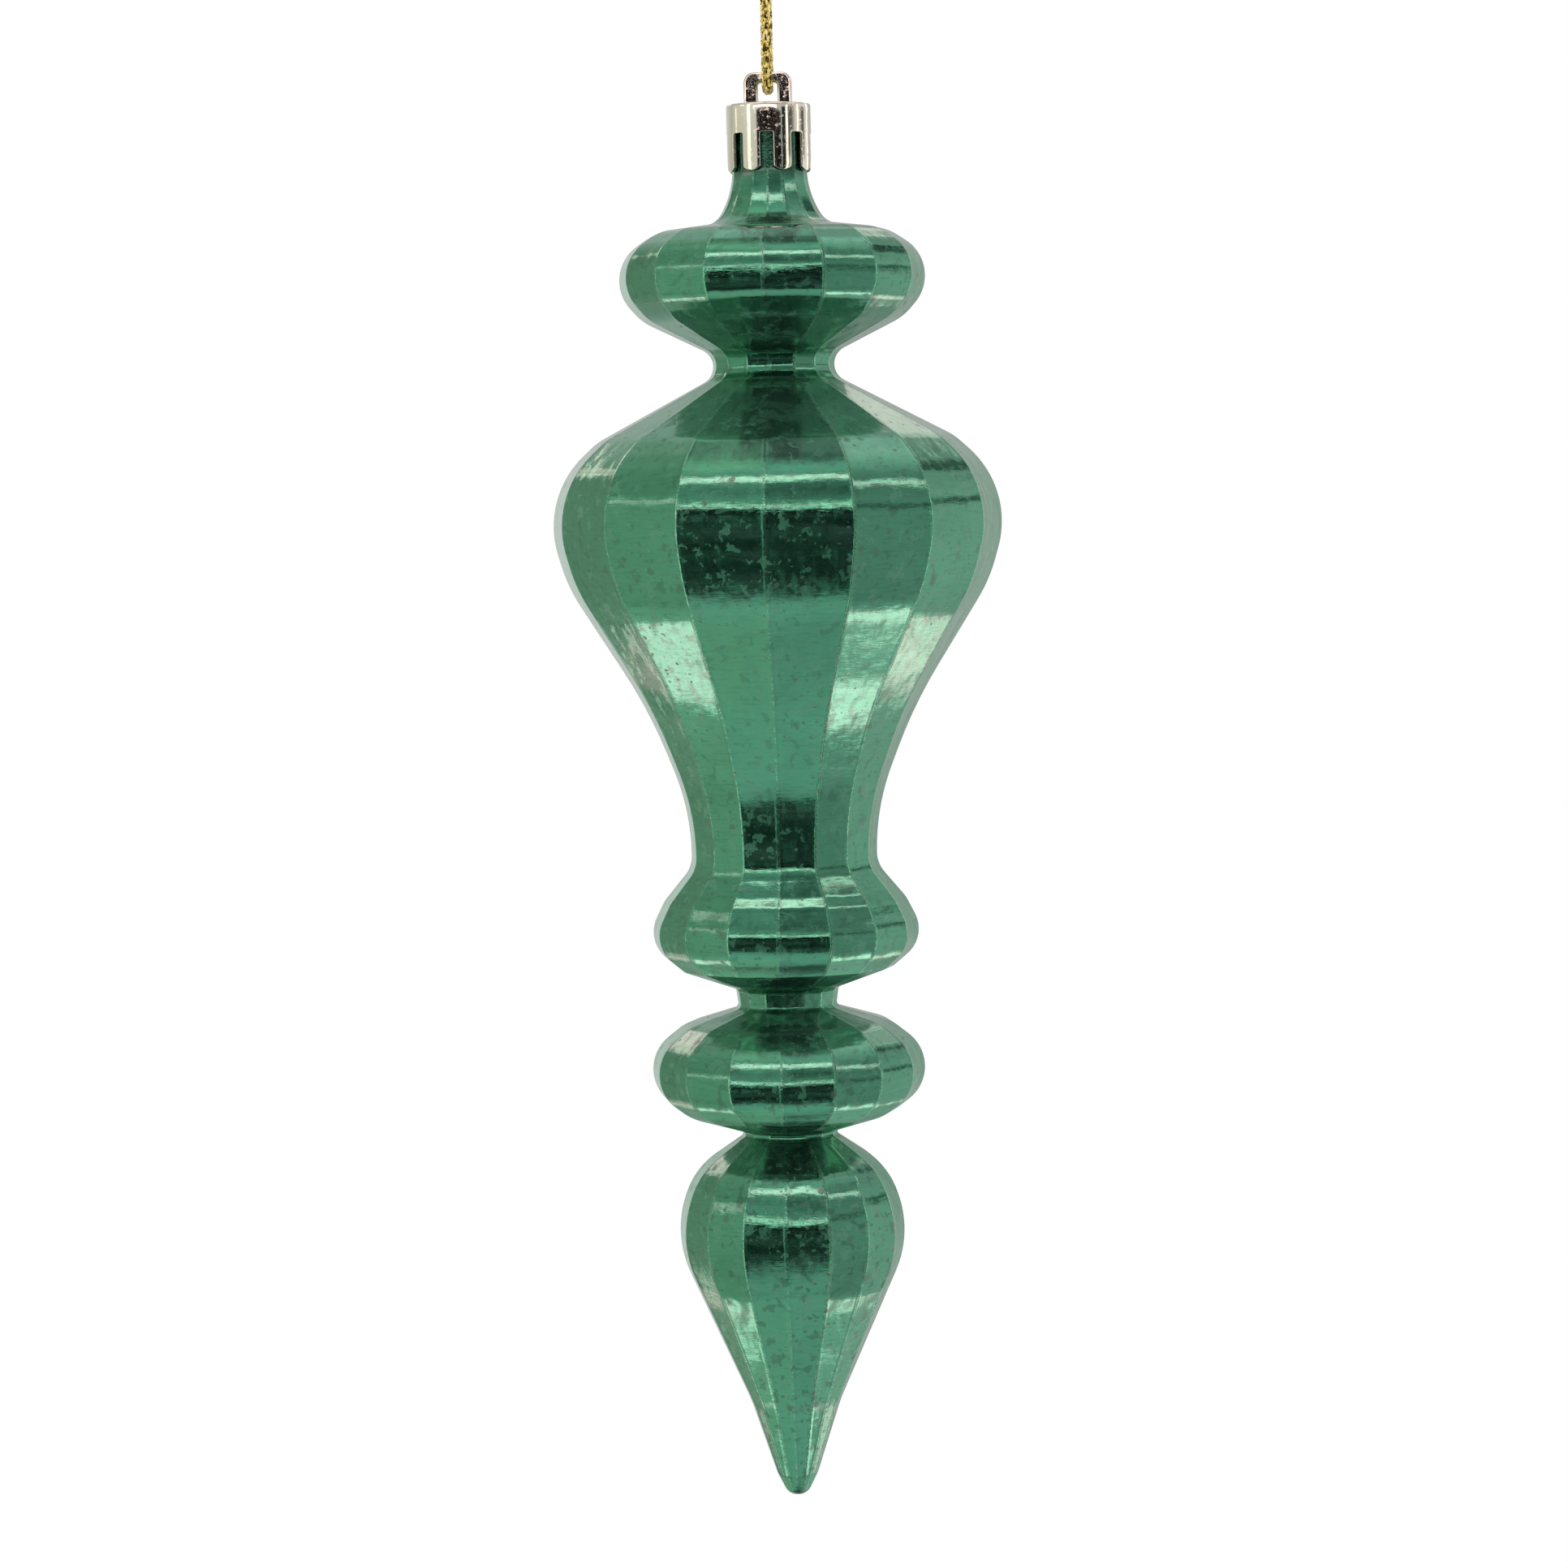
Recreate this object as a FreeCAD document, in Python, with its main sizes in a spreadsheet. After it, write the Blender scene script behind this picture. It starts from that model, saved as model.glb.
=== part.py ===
import FreeCAD, Part
import math
import os

import Sketcher

# A plastic finial ornament: a hollow blow-moulded body with flat facets, a slotted
# hanger cap with an eye, and a loop of cord tied with a knot.
#
# The origin is the middle of the underside of the eye's bar, where the cord or a
# hook bears. +Z is up, the eye opens along Y, and the body hangs down along -Z.
# Sizes are in millimetres.

# The moulding's outline is a chain of straight runs joined by arcs. A corner of the
# chain has its distance from the axis, measured across the flats, its drop below the
# corner above it, and the radius that rounds it, with 0 for one that is left sharp.
# The first one is below the rim.
OUTLINE = [
    ("flare_top", 6.4, 14.1, 17.0),
    ("flare_foot", 9.5, 5.4, 4.4),
    ("upper_disc_top", 20.0, 1.4, 8.2),
    ("upper_disc_rim", 29.9, 6.7, 7.4),
    ("upper_disc_base", 22.4, 8.6, 9.1),
    ("throat", 6.7, 7.9, 3.2),
    ("bulb_top", 30.65, 12.9, 9.3),
    ("bulb_rim", 40.8, 9.4, 17.3),
    ("bulb_base", 36.3, 15.9, 28.7),
    ("taper", 22.9, 21.7, 86.0),
    ("waist_top", 16.1, 17.7, 42.0),
    ("waist_foot", 16.0, 10.0, 5.5),
    ("collar_top", 20.9, 6.0, 6.0),
    ("collar_rim", 24.35, 7.1, 5.9),
    ("collar_base", 18.5, 5.0, 1.7),
    ("stem_top", 8.9, 3.5, 0),
    ("stem_foot", 8.45, 3.3, 0),
    ("lower_disc_top", 17.9, 2.9, 7.4),
    ("lower_disc_rim", 28.1, 8.2, 7.4),
    ("lower_disc_base", 17.9, 7.9, 10.8),
    ("pinch", 7.45, 3.2, 0),
    ("drop_top", 16.8, 6.4, 14.0),
    ("drop_rim", 20.8, 12.0, 19.0),
    ("drop_base", 7.8, 29.5, 28.0),
    ("tip_side", 3.55, 13.1, 6.0),
    ("tip_end", 1.62, 3.9, 2.3),
]
SIZES = [
    ("facet_count", 16),
    ("wall", 1.1),
    # the eye: a moulded arch on the cap, whose opening takes the cord
    ("eye_width", 8.3),
    ("eye_depth", 3.0),
    ("eye_bar", 1.75),
    ("eye_opening_width", 3.5),
    ("eye_opening_height", 3.8),
    ("eye_corner_radius", 1.7),
    ("eye_opening_radius", 0.6),
    ("eye_edge_bevel", 0.5),
    ("eye_inner_edge_radius", 1.0),
    # the cap: a round top and a skirt that slots divide into tines
    ("cap_radius", 7.35),
    ("cap_height", 11.8),
    ("cap_top_thickness", 1.0),
    ("cap_corner", 0.7),
    ("cap_fit", 0.1),
    ("slot_count", 8),
    ("slot_width", 2.3),
    ("slot_height", 6.6),
    ("slot_corner_radius", 0.4),
    ("tine_end_radius", 1.0),
    # the cord, its loop and the knot that ties it
    ("cord_diameter", 1.7),
    ("cord_clearance", 0.15),
    ("loop_height", 60.0),
    ("knot_diameter", 5.2),
    ("knot_height", 5.4),
    ("knot_bevel", 1.3),
    ("tail_length", 7.0),
    ("tail_spread", 16.0),
]
# parts of a rounding that stays straight between two arcs, and the least inner radius
STRAIGHT_SHARE = 0.02
LEAST_RADIUS = 0.1
SEW_GAP = 0.001


def vector(x, y, z=0.0):
    return FreeCAD.Vector(x, y, z)


def size_sheet(doc):
    """The spreadsheet that holds every size, one row each."""
    sheet = doc.addObject("Spreadsheet::Sheet", "sizes")
    rows = list(SIZES)
    for name, half_flats, drop, rounding in OUTLINE:
        rows += [(name + "_half_flats", half_flats), (name + "_drop", drop)]
        if rounding:
            rows += [(name + "_rounding", rounding)]
    for row, (name, value) in enumerate(rows, start=1):
        sheet.set(f"A{row}", name)
        sheet.set(f"B{row}", str(value))
        sheet.setAlias(f"B{row}", name)
    doc.recompute()
    return sheet


def origin_feature(body, role):
    return next(f for f in body.Origin.OriginFeatures if f.Role == role)


class Drawing:
    """A sketch on one of its body's origin planes, whose joints and dimensions are
    gathered and added together. Dimensions are tied to the sheet."""

    def __init__(self, body, name, plane="XZ_Plane"):
        self.sketch = body.newObject("Sketcher::SketchObject", name)
        self.sketch.AttachmentSupport = [(origin_feature(body, plane), "")]
        self.sketch.MapMode = "FlatFace"
        self.constraints = []
        self.expressions = {}

    def line(self, start, end):
        return self.sketch.addGeometry(Part.LineSegment(vector(*start), vector(*end)), False)

    def arc(self, centre, radius, first, last):
        circle = Part.Circle(vector(*centre), vector(0, 0, 1), radius)
        return self.sketch.addGeometry(Part.ArcOfCircle(circle, first, last), False)

    def point(self, place):
        return self.sketch.addGeometry(Part.Point(place), True)

    def join(self, kind, *where):
        self.constraints.append(Sketcher.Constraint(kind, *where))

    def size(self, expression, kind, *where):
        value = self.sketch.evalExpression(expression)
        self.expressions[len(self.constraints)] = expression
        self.constraints.append(Sketcher.Constraint(kind, *where, getattr(value, "Value", value)))

    def polygon(self, corners):
        """Lines round the corners, each joined to the next."""
        lines = [self.line(a, b) for a, b in zip(corners, corners[1:] + corners[:1])]
        for first, second in zip(lines, lines[1:] + lines[:1]):
            self.join("Coincident", first, 2, second, 1)
        return lines

    def finish(self):
        numbers = self.sketch.addConstraint(self.constraints)
        for place, expression in self.expressions.items():
            self.sketch.setExpression(f"Constraints[{numbers[place]}]", expression)
        return self.sketch


def turn_at(before, corner, after):
    """The signed angle by which a chain turns at a corner; right turns are negative."""
    first = math.atan2(corner[1] - before[1], corner[0] - before[0])
    second = math.atan2(after[1] - corner[1], after[0] - corner[0])
    return (second - first + math.pi) % (2 * math.pi) - math.pi


def fitted_roundings(points, roundings):
    """Roundings that leave each run a straight part: one that overruns is shortened."""
    turns = [abs(turn_at(*points[i:i + 3])) for i in range(len(roundings))]
    reach = [0.0] + [(r or 0) * math.tan(t / 2) for r, t in zip(roundings, turns)] + [0.0]
    share = [1.0] * len(roundings)
    for i in range(len(points) - 1):
        room = math.dist(points[i], points[i + 1]) * (1 - STRAIGHT_SHARE)
        over = (reach[i] + reach[i + 1]) / room
        for k in (i - 1, i):
            if over > 1 and 0 <= k < len(share):
                share[k] = min(share[k], 1 / over)
    return [r and r * s for r, s in zip(roundings, share)]


def draw_chain(drawing, points, roundings):
    """Draws straight runs between the points, with a tangent arc at each inner one
    whose rounding isn't None. Returns the runs and the arcs, as numbers of the
    sketch's geometry, with None where there is no arc."""
    touches = []
    arcs = []
    for i, radius in enumerate(roundings):
        if radius is None:
            touches += [points[i + 1], points[i + 1]]
            arcs.append(None)
            continue
        before, corner, after = points[i:i + 3]
        turn = turn_at(before, corner, after)
        reach = radius * math.tan(abs(turn) / 2)
        heading = math.atan2(corner[1] - before[1], corner[0] - before[0])
        leaving = heading + turn
        start = (corner[0] - reach * math.cos(heading), corner[1] - reach * math.sin(heading))
        end = (corner[0] + reach * math.cos(leaving), corner[1] + reach * math.sin(leaving))
        side = math.copysign(math.pi / 2, turn)
        centre = (start[0] + radius * math.cos(heading + side), start[1] + radius * math.sin(heading + side))
        span = (heading - side, leaving - side)
        touches += [start, end]
        arcs.append((drawing.arc(centre, radius, *(span if turn > 0 else span[::-1])), turn > 0))
    ends = [points[0]] + touches + [points[-1]]
    runs = [drawing.line(start, end) for start, end in zip(ends[::2], ends[1::2])]
    for i, rounding in enumerate(arcs):
        if rounding is None:
            drawing.join("Coincident", runs[i], 2, runs[i + 1], 1)
            continue
        arc, left = rounding
        first, last = (1, 2) if left else (2, 1)
        drawing.join("Tangent", runs[i], 2, arc, first)
        drawing.join("Tangent", arc, last, runs[i + 1], 1)
    return runs, [rounding and rounding[0] for rounding in arcs]


def inset_chain(points, roundings, wall):
    """The same chain one wall further in. Its arcs have the outer ones' centres, and in
    the hollows, where the plastic gathers, its corners are left sharp."""
    inner = [(points[0][0] - wall, points[0][1])]
    radii = []
    for i, radius in enumerate(roundings):
        before, corner, after = points[i:i + 3]
        turn = turn_at(before, corner, after)
        heading = math.atan2(corner[1] - before[1], corner[0] - before[0])
        inward = heading + turn / 2 - math.pi / 2
        reach = wall / math.cos(turn / 2)
        inner.append((corner[0] + reach * math.cos(inward), corner[1] + reach * math.sin(inward)))
        radii.append(radius - wall if turn < 0 and radius else None)
    inner.append((0.0, inner[-1][1]))
    return inner, radii


def body_outline(sheet):
    """The moulding's corners, from its rim down to its tip, with their roundings."""
    names = [row[0] for row in OUTLINE]
    height = -(sheet.eye_opening_height + sheet.cap_top_thickness)
    points = [(sheet.get(names[0] + "_half_flats"), height)]
    for name in names:
        height -= sheet.get(name + "_drop")
        points.append((sheet.get(name + "_half_flats"), height))
    points.append((0.0, height))
    wanted = []
    for i, (name, _, _, rounding) in enumerate(OUTLINE):
        least = sheet.wall + LEAST_RADIUS if turn_at(*points[i:i + 3]) < 0 else 0
        wanted.append(max(sheet.get(name + "_rounding"), least) if rounding else None)
    return names, points, wanted


def wall_section(body, sheet):
    """The wall cut at the middle of a facet: the outline, and the same one inset."""
    names, outer, wanted = body_outline(sheet)
    fitted = fitted_roundings(outer, wanted)
    inner, inner_radii = inset_chain(outer, fitted, sheet.wall)
    drawing = Drawing(body, "wall_section")
    outer_runs, outer_arcs = draw_chain(drawing, outer, fitted)
    inner_runs, inner_arcs = draw_chain(drawing, inner, inner_radii)
    rim_line = drawing.line(inner[0], outer[0])
    axis_line = drawing.line(inner[-1], outer[-1])
    drawing.join("Coincident", rim_line, 1, inner_runs[0], 1)
    drawing.join("Coincident", rim_line, 2, outer_runs[0], 1)
    drawing.join("Coincident", axis_line, 1, inner_runs[-1], 2)
    drawing.join("Coincident", axis_line, 2, outer_runs[-1], 2)
    drawing.join("Horizontal", rim_line)
    for runs in (outer_runs, inner_runs):
        drawing.join("Vertical", runs[0])
        drawing.join("Horizontal", runs[-1])
        drawing.join("PointOnObject", runs[-1], 2, -2)
    drawing.size("sizes.eye_opening_height + sizes.cap_top_thickness", "DistanceY", outer_runs[0], 1, -1, 1)
    above = outer_runs[0]
    for i, name in enumerate(names):
        corner = drawing.point(vector(*outer[i + 1]))
        drawing.join("PointOnObject", corner, 1, outer_runs[i])
        drawing.join("PointOnObject", corner, 1, outer_runs[i + 1])
        drawing.size(f"sizes.{name}_half_flats", "DistanceX", -1, 1, corner, 1)
        drawing.size(f"sizes.{name}_drop", "DistanceY", corner, 1, above, 1)
        above = corner
        hollow = inner_radii[i] is None
        radius = f"sizes.{name}_rounding"
        if not hollow:
            radius = f"max({radius}; sizes.wall + {LEAST_RADIUS})"
        if fitted[i] and fitted[i] < wanted[i]:
            radius = str(fitted[i])
        if fitted[i]:
            drawing.size(radius, "Radius", outer_arcs[i])
        if hollow:
            drawing.size("sizes.wall", "Distance", inner_runs[i], 2, outer_runs[i])
            drawing.size("sizes.wall", "Distance", inner_runs[i], 2, outer_runs[i + 1])
        else:
            drawing.size(f"{radius} - sizes.wall", "Radius", inner_arcs[i])
            drawing.join("Coincident", inner_arcs[i], 3, outer_arcs[i], 3)
    return drawing.finish()


def sector_side(body, name, side, sheet):
    """Cuts the slab back to a plane through the axis, half a facet to one side."""
    far = 3 * sheet.bulb_rim_half_flats
    rise = far * math.tan(math.pi / sheet.facet_count)
    drawing = Drawing(body, name + "_sketch", "XY_Plane")
    corners = [(0, 0), (far, side * rise), (far, side * far), (-far, side * far), (-far, 0)]
    lines = drawing.polygon(corners)
    drawing.join("Coincident", lines[0], 1, -1, 1)
    for line, way in zip(lines[1:], ("Vertical", "Horizontal", "Vertical", "Horizontal")):
        drawing.join(way, line)
    reach = "3 * sizes.bulb_rim_half_flats"
    drawing.size(reach, "DistanceX", -1, 1, lines[0], 2)
    drawing.size(reach, "DistanceX", lines[3], 2, -1, 1)
    for expression, line in ((f"{reach} * tan(180 / sizes.facet_count)", lines[0]), (reach, lines[1])):
        ends = (-1, 1, line, 2) if side > 0 else (line, 2, -1, 1)
        drawing.size(expression, "DistanceY", *ends)
    cut = body.newObject("PartDesign::Pocket", name)
    cut.Profile = drawing.finish()
    cut.Type = "ThroughAll"
    cut.SideType = "Symmetric"
    body.Tip = cut


def finial_body(doc, sheet):
    """The blow moulding. One flat-across facet's wall is a slab of the section, cut to
    a sector; the whole is that sector's facets all round, sewn into one wall."""
    sector = doc.addObject("PartDesign::Body", "facet_sector")
    slab = sector.newObject("PartDesign::Pad", "wall_slab")
    slab.Profile = wall_section(sector, sheet)
    slab.SideType = "Symmetric"
    slab.setExpression("Length", "2 * sizes.bulb_rim_half_flats")
    sector.Tip = slab
    sector_side(sector, "left_side", 1, sheet)
    sector_side(sector, "right_side", -1, sheet)
    doc.recompute()
    count = int(sheet.facet_count)
    turn = 360 / count
    walls = []
    for face in sector.Shape.Faces:
        middle = face.normalAt(*(sum(face.ParameterRange[i:i + 2]) / 2 for i in (0, 2)))
        across = [vector(math.sin(s * math.pi / count), -math.cos(s * math.pi / count)) for s in (1, -1)]
        if all(abs(middle.dot(side)) < 1 - 1e-9 for side in across):
            walls.append(face)
    facets = []
    for number in range(count):
        for face in walls:
            facets.append(face.copy().rotate(vector(0, 0), vector(0, 0, 1), turn * number))
    skin = Part.makeCompound(facets)
    skin.sewShape(SEW_GAP)
    body = doc.addObject("Part::Feature", "finial_body")
    body.Shape = Part.Solid(Part.Shell(skin.Faces)).removeSplitter()
    body.Placement = FreeCAD.Placement(vector(0, 0), FreeCAD.Rotation(vector(0, 0, 1), turn / 2))
    return body


def eye_arch(cap, sheet):
    """The eye: an arch moulded on the cap's top, with its feet inside the top."""
    half, opening = sheet.eye_width / 2, sheet.eye_opening_width / 2
    foot = -sheet.eye_opening_height - sheet.cap_top_thickness / 2
    top = sheet.eye_bar
    outline = [(-half, foot), (-half, top), (half, top), (half, foot)]
    hole = [(opening, foot), (opening, 0), (-opening, 0), (-opening, foot)]
    drawing = Drawing(cap, "eye_outline")
    outer, outer_arcs = draw_chain(drawing, outline, [sheet.eye_corner_radius] * 2)
    inner, inner_arcs = draw_chain(drawing, hole, [sheet.eye_opening_radius] * 2)
    feet = [drawing.line(outline[3], hole[0]), drawing.line(hole[3], outline[0])]
    for line, start, end in ((feet[0], (outer[2], 2), (inner[0], 1)), (feet[1], (inner[2], 2), (outer[0], 1))):
        drawing.join("Coincident", line, 1, *start)
        drawing.join("Coincident", line, 2, *end)
    drawing.join("Horizontal", feet[0])
    for upright in (outer[0], outer[2], inner[0], inner[2]):
        drawing.join("Vertical", upright)
    drawing.join("Horizontal", outer[1])
    drawing.join("Horizontal", inner[1])
    drawing.join("Symmetric", feet[0], 1, feet[1], 2, -2)
    drawing.join("Symmetric", feet[0], 2, feet[1], 1, -2)
    drawing.join("PointOnObject", inner[1], 1, -1)
    drawing.size("sizes.eye_width", "DistanceX", feet[1], 2, feet[0], 1)
    drawing.size("sizes.eye_opening_width", "DistanceX", feet[1], 1, feet[0], 2)
    drawing.size("sizes.eye_bar", "DistanceY", -1, 1, outer[1], 1)
    drawing.size("sizes.eye_opening_height + sizes.cap_top_thickness / 2", "DistanceY", feet[0], 1, -1, 1)
    for arcs, name in ((outer_arcs, "eye_corner_radius"), (inner_arcs, "eye_opening_radius")):
        for arc in arcs:
            drawing.size(f"sizes.{name}", "Radius", arc)
    arch = cap.newObject("PartDesign::Pad", "eye_arch")
    arch.Profile = drawing.finish()
    arch.SideType = "Symmetric"
    arch.setExpression("Length", "sizes.eye_depth")
    cap.Tip = arch
    return arch


def ease_edges(cap, kind, size, name, base, wanted):
    """Bevels or rounds the edges of a feature that a test picks."""
    eased = cap.newObject(f"PartDesign::{kind}", name)
    picked = [f"Edge{i}" for i, edge in enumerate(base.Shape.Edges, start=1) if wanted(edge)]
    eased.Base = (base, picked)
    eased.setExpression("Size" if kind == "Chamfer" else "Radius", size)
    cap.Tip = eased
    return eased


def cap_cup(cap, sheet):
    """The cap's round top and skirt, with the bore that takes the neck."""
    top = -sheet.eye_opening_height
    foot = top - sheet.cap_height
    bore = sheet.flare_top_half_flats / math.cos(math.pi / sheet.facet_count) + sheet.cap_fit
    inside = top - sheet.cap_top_thickness
    side, corner = sheet.cap_radius, sheet.cap_corner
    drawing = Drawing(cap, "cup_section")
    corners = [(0, inside), (0, top), (side - corner, top), (side, top - corner), (side, foot)]
    corners += [(bore, foot), (bore, inside)]
    axis, lid, bevel, skirt, ring, wall, ceiling = drawing.polygon(corners)
    for line in (lid, ring, ceiling):
        drawing.join("Horizontal", line)
    for line in (axis, skirt, wall):
        drawing.join("Vertical", line)
    drawing.join("PointOnObject", axis, 1, -2)
    drawing.size("sizes.cap_corner", "DistanceX", bevel, 1, bevel, 2)
    drawing.size("sizes.cap_corner", "DistanceY", bevel, 2, bevel, 1)
    drawing.size("sizes.cap_radius", "DistanceX", -1, 1, skirt, 1)
    drawing.size("sizes.eye_opening_height", "DistanceY", lid, 2, -1, 1)
    drawing.size("sizes.cap_height", "DistanceY", ring, 1, lid, 2)
    drawing.size("sizes.cap_top_thickness", "DistanceY", ceiling, 1, lid, 2)
    neck = "sizes.flare_top_half_flats / cos(180 / sizes.facet_count)"
    drawing.size(f"{neck} + sizes.cap_fit", "DistanceX", -1, 1, wall, 1)
    cup = cap.newObject("PartDesign::Revolution", "cup")
    cup.Profile = drawing.finish()
    cup.ReferenceAxis = (drawing.sketch, ["V_Axis"])
    cup.Angle = 360
    cap.Tip = cup
    return cup


def skirt_slots(cap, sheet):
    """The slots that part the skirt into tines, with the tines' rounded ends."""
    foot = -sheet.eye_opening_height - sheet.cap_height
    half, end = sheet.slot_width / 2, sheet.tine_end_radius
    top = foot + sheet.slot_height
    below = foot - end
    drawing = Drawing(cap, "slot_outline")
    corner = sheet.slot_corner_radius
    right_end = drawing.arc((half + end, foot + end), end, math.pi, 1.5 * math.pi)
    left_end = drawing.arc((-half - end, foot + end), end, 1.5 * math.pi, 2 * math.pi)
    right_top = drawing.arc((half - corner, top - corner), corner, 0, math.pi / 2)
    left_top = drawing.arc((corner - half, top - corner), corner, math.pi / 2, math.pi)
    right = drawing.line((half, foot + end), (half, top - corner))
    left = drawing.line((-half, top - corner), (-half, foot + end))
    head = drawing.line((half - corner, top), (corner - half, top))
    right_leg = drawing.line((half + end, below), (half + end, foot))
    left_leg = drawing.line((-half - end, foot), (-half - end, below))
    base = drawing.line((-half - end, below), (half + end, below))
    for ends in ((right_leg, 2, right_end, 2), (left_end, 1, left_leg, 1)):
        drawing.join("Coincident", *ends)
    for ends in ((left_leg, 2, base, 1), (base, 2, right_leg, 1)):
        drawing.join("Coincident", *ends)
    for ends in ((right_end, 1, right, 1), (right, 2, right_top, 1), (right_top, 2, head, 1)):
        drawing.join("Tangent", *ends)
    for ends in ((head, 2, left_top, 1), (left_top, 2, left, 1), (left, 2, left_end, 2)):
        drawing.join("Tangent", *ends)
    for line in (right, left, right_leg, left_leg):
        drawing.join("Vertical", line)
    drawing.join("Horizontal", head)
    drawing.join("Horizontal", base)
    drawing.join("Vertical", right_end, 3, right_end, 2)
    drawing.join("Vertical", left_end, 3, left_end, 1)
    drawing.join("Symmetric", right, 1, left, 2, -2)
    drawing.join("Equal", right_end, left_end)
    drawing.join("Equal", right_top, left_top)
    drawing.size("sizes.slot_width", "DistanceX", left, 2, right, 1)
    drawing.size("sizes.tine_end_radius", "Radius", right_end)
    drawing.size("sizes.slot_corner_radius", "Radius", right_top)
    drawing.size("sizes.tine_end_radius", "DistanceY", base, 2, right_leg, 2)
    drawing.size("sizes.slot_height", "DistanceY", right_leg, 2, head, 1)
    drawing.size("sizes.eye_opening_height + sizes.cap_height", "DistanceY", right_leg, 2, -1, 1)
    slot = cap.newObject("PartDesign::Pocket", "slot")
    slot.Profile = drawing.finish()
    slot.SideType = "One side"
    slot.setExpression("Length", "2 * sizes.cap_radius")
    cap.Tip = slot
    slots = cap.newObject("PartDesign::PolarPattern", "slots")
    slots.Originals = [slot]
    slots.Axis = (origin_feature(cap, "Z_Axis"), [""])
    slots.Angle = 360
    slots.setExpression("Occurrences", "sizes.slot_count")
    cap.Tip = slots
    return slots


def hanger_cap(doc, sheet):
    """The cap: one moulding, with an eye on its top and tines that grip the neck."""
    cap = doc.addObject("PartDesign::Body", "hanger_cap")
    arch = eye_arch(cap, sheet)
    doc.recompute()
    depth = sheet.eye_depth / 2
    foot = -sheet.eye_opening_height - sheet.cap_top_thickness / 2
    opening = sheet.eye_opening_width / 2 + 0.01

    def on_face(edge):
        box = edge.BoundBox
        return abs(abs(box.YMin) - depth) < 0.01 and box.YLength < 0.01 and box.ZMax > foot + 0.01

    def within(edge):
        box = edge.BoundBox
        return max(-box.XMin, box.XMax) < opening and box.ZMax < 0.01

    outer = ease_edges(cap, "Chamfer", "sizes.eye_edge_bevel", "eye_edges", arch,
                       lambda edge: on_face(edge) and not within(edge))
    doc.recompute()
    ease_edges(cap, "Fillet", "sizes.eye_inner_edge_radius", "eye_inner_edges", outer,
               lambda edge: on_face(edge) and within(edge))
    cap_cup(cap, sheet)
    skirt_slots(cap, sheet)
    return cap


def cord_route(sheet):
    """The cord's corners in the plane of its loop: from the knot down the front, under
    the eye's bar and up the back to the knot."""
    out = sheet.eye_depth / 2 + sheet.cord_clearance + sheet.cord_diameter / 2
    under = -sheet.cord_clearance - sheet.cord_diameter / 2
    beside = sheet.cord_diameter / 2
    top = sheet.loop_height + sheet.cord_diameter
    return [(-beside, top), (-out, under), (out, under), (beside, top)]


def hanging_cord(doc, sheet):
    """The cord's two taut strands and its turn round the bar, cut flat at the knot."""
    radius = sheet.cord_diameter / 2
    bend = sheet.eye_inner_edge_radius + sheet.cord_clearance + radius
    points = cord_route(sheet)
    edges = []
    start = points[0]
    for i in (1, 2):
        before, corner, after = points[i - 1:i + 2]
        turn = turn_at(before, corner, after)
        reach = bend * math.tan(abs(turn) / 2)
        heading = math.atan2(corner[1] - before[1], corner[0] - before[0])
        first = (corner[0] - reach * math.cos(heading), corner[1] - reach * math.sin(heading))
        last = (corner[0] + reach * math.cos(heading + turn), corner[1] + reach * math.sin(heading + turn))
        inward = heading + math.copysign(math.pi / 2, turn)
        centre = (first[0] + bend * math.cos(inward), first[1] + bend * math.sin(inward))
        away = heading + turn / 2 - math.copysign(math.pi / 2, turn)
        middle = (centre[0] + bend * math.cos(away), centre[1] + bend * math.sin(away))
        edges.append(Part.LineSegment(vector(0, *start), vector(0, *first)).toShape())
        edges.append(Part.Arc(vector(0, *first), vector(0, *middle), vector(0, *last)).toShape())
        print(f"cord arc {i}: radius {bend:.2f} mm, turn {math.degrees(abs(turn)):.0f} degrees")
        start = last
    edges.append(Part.LineSegment(vector(0, *start), vector(0, *points[3])).toShape())
    path = Part.Wire(edges)
    heading = (vector(0, *points[1]) - vector(0, *points[0])).normalize()
    ring = Part.Wire(Part.makeCircle(radius, vector(0, *points[0]), heading))
    tube = path.makePipeShell([ring], True, False)
    print(f"cord tube {tube.Volume:.2f} mm3, section by length {math.pi * radius ** 2 * path.Length:.2f} mm3")
    above = Part.makeBox(40, 40, 40, vector(-20, -20, sheet.loop_height))
    cord = doc.addObject("Part::Feature", "hanging_cord")
    cord.Shape = tube.cut(above)
    return cord


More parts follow.
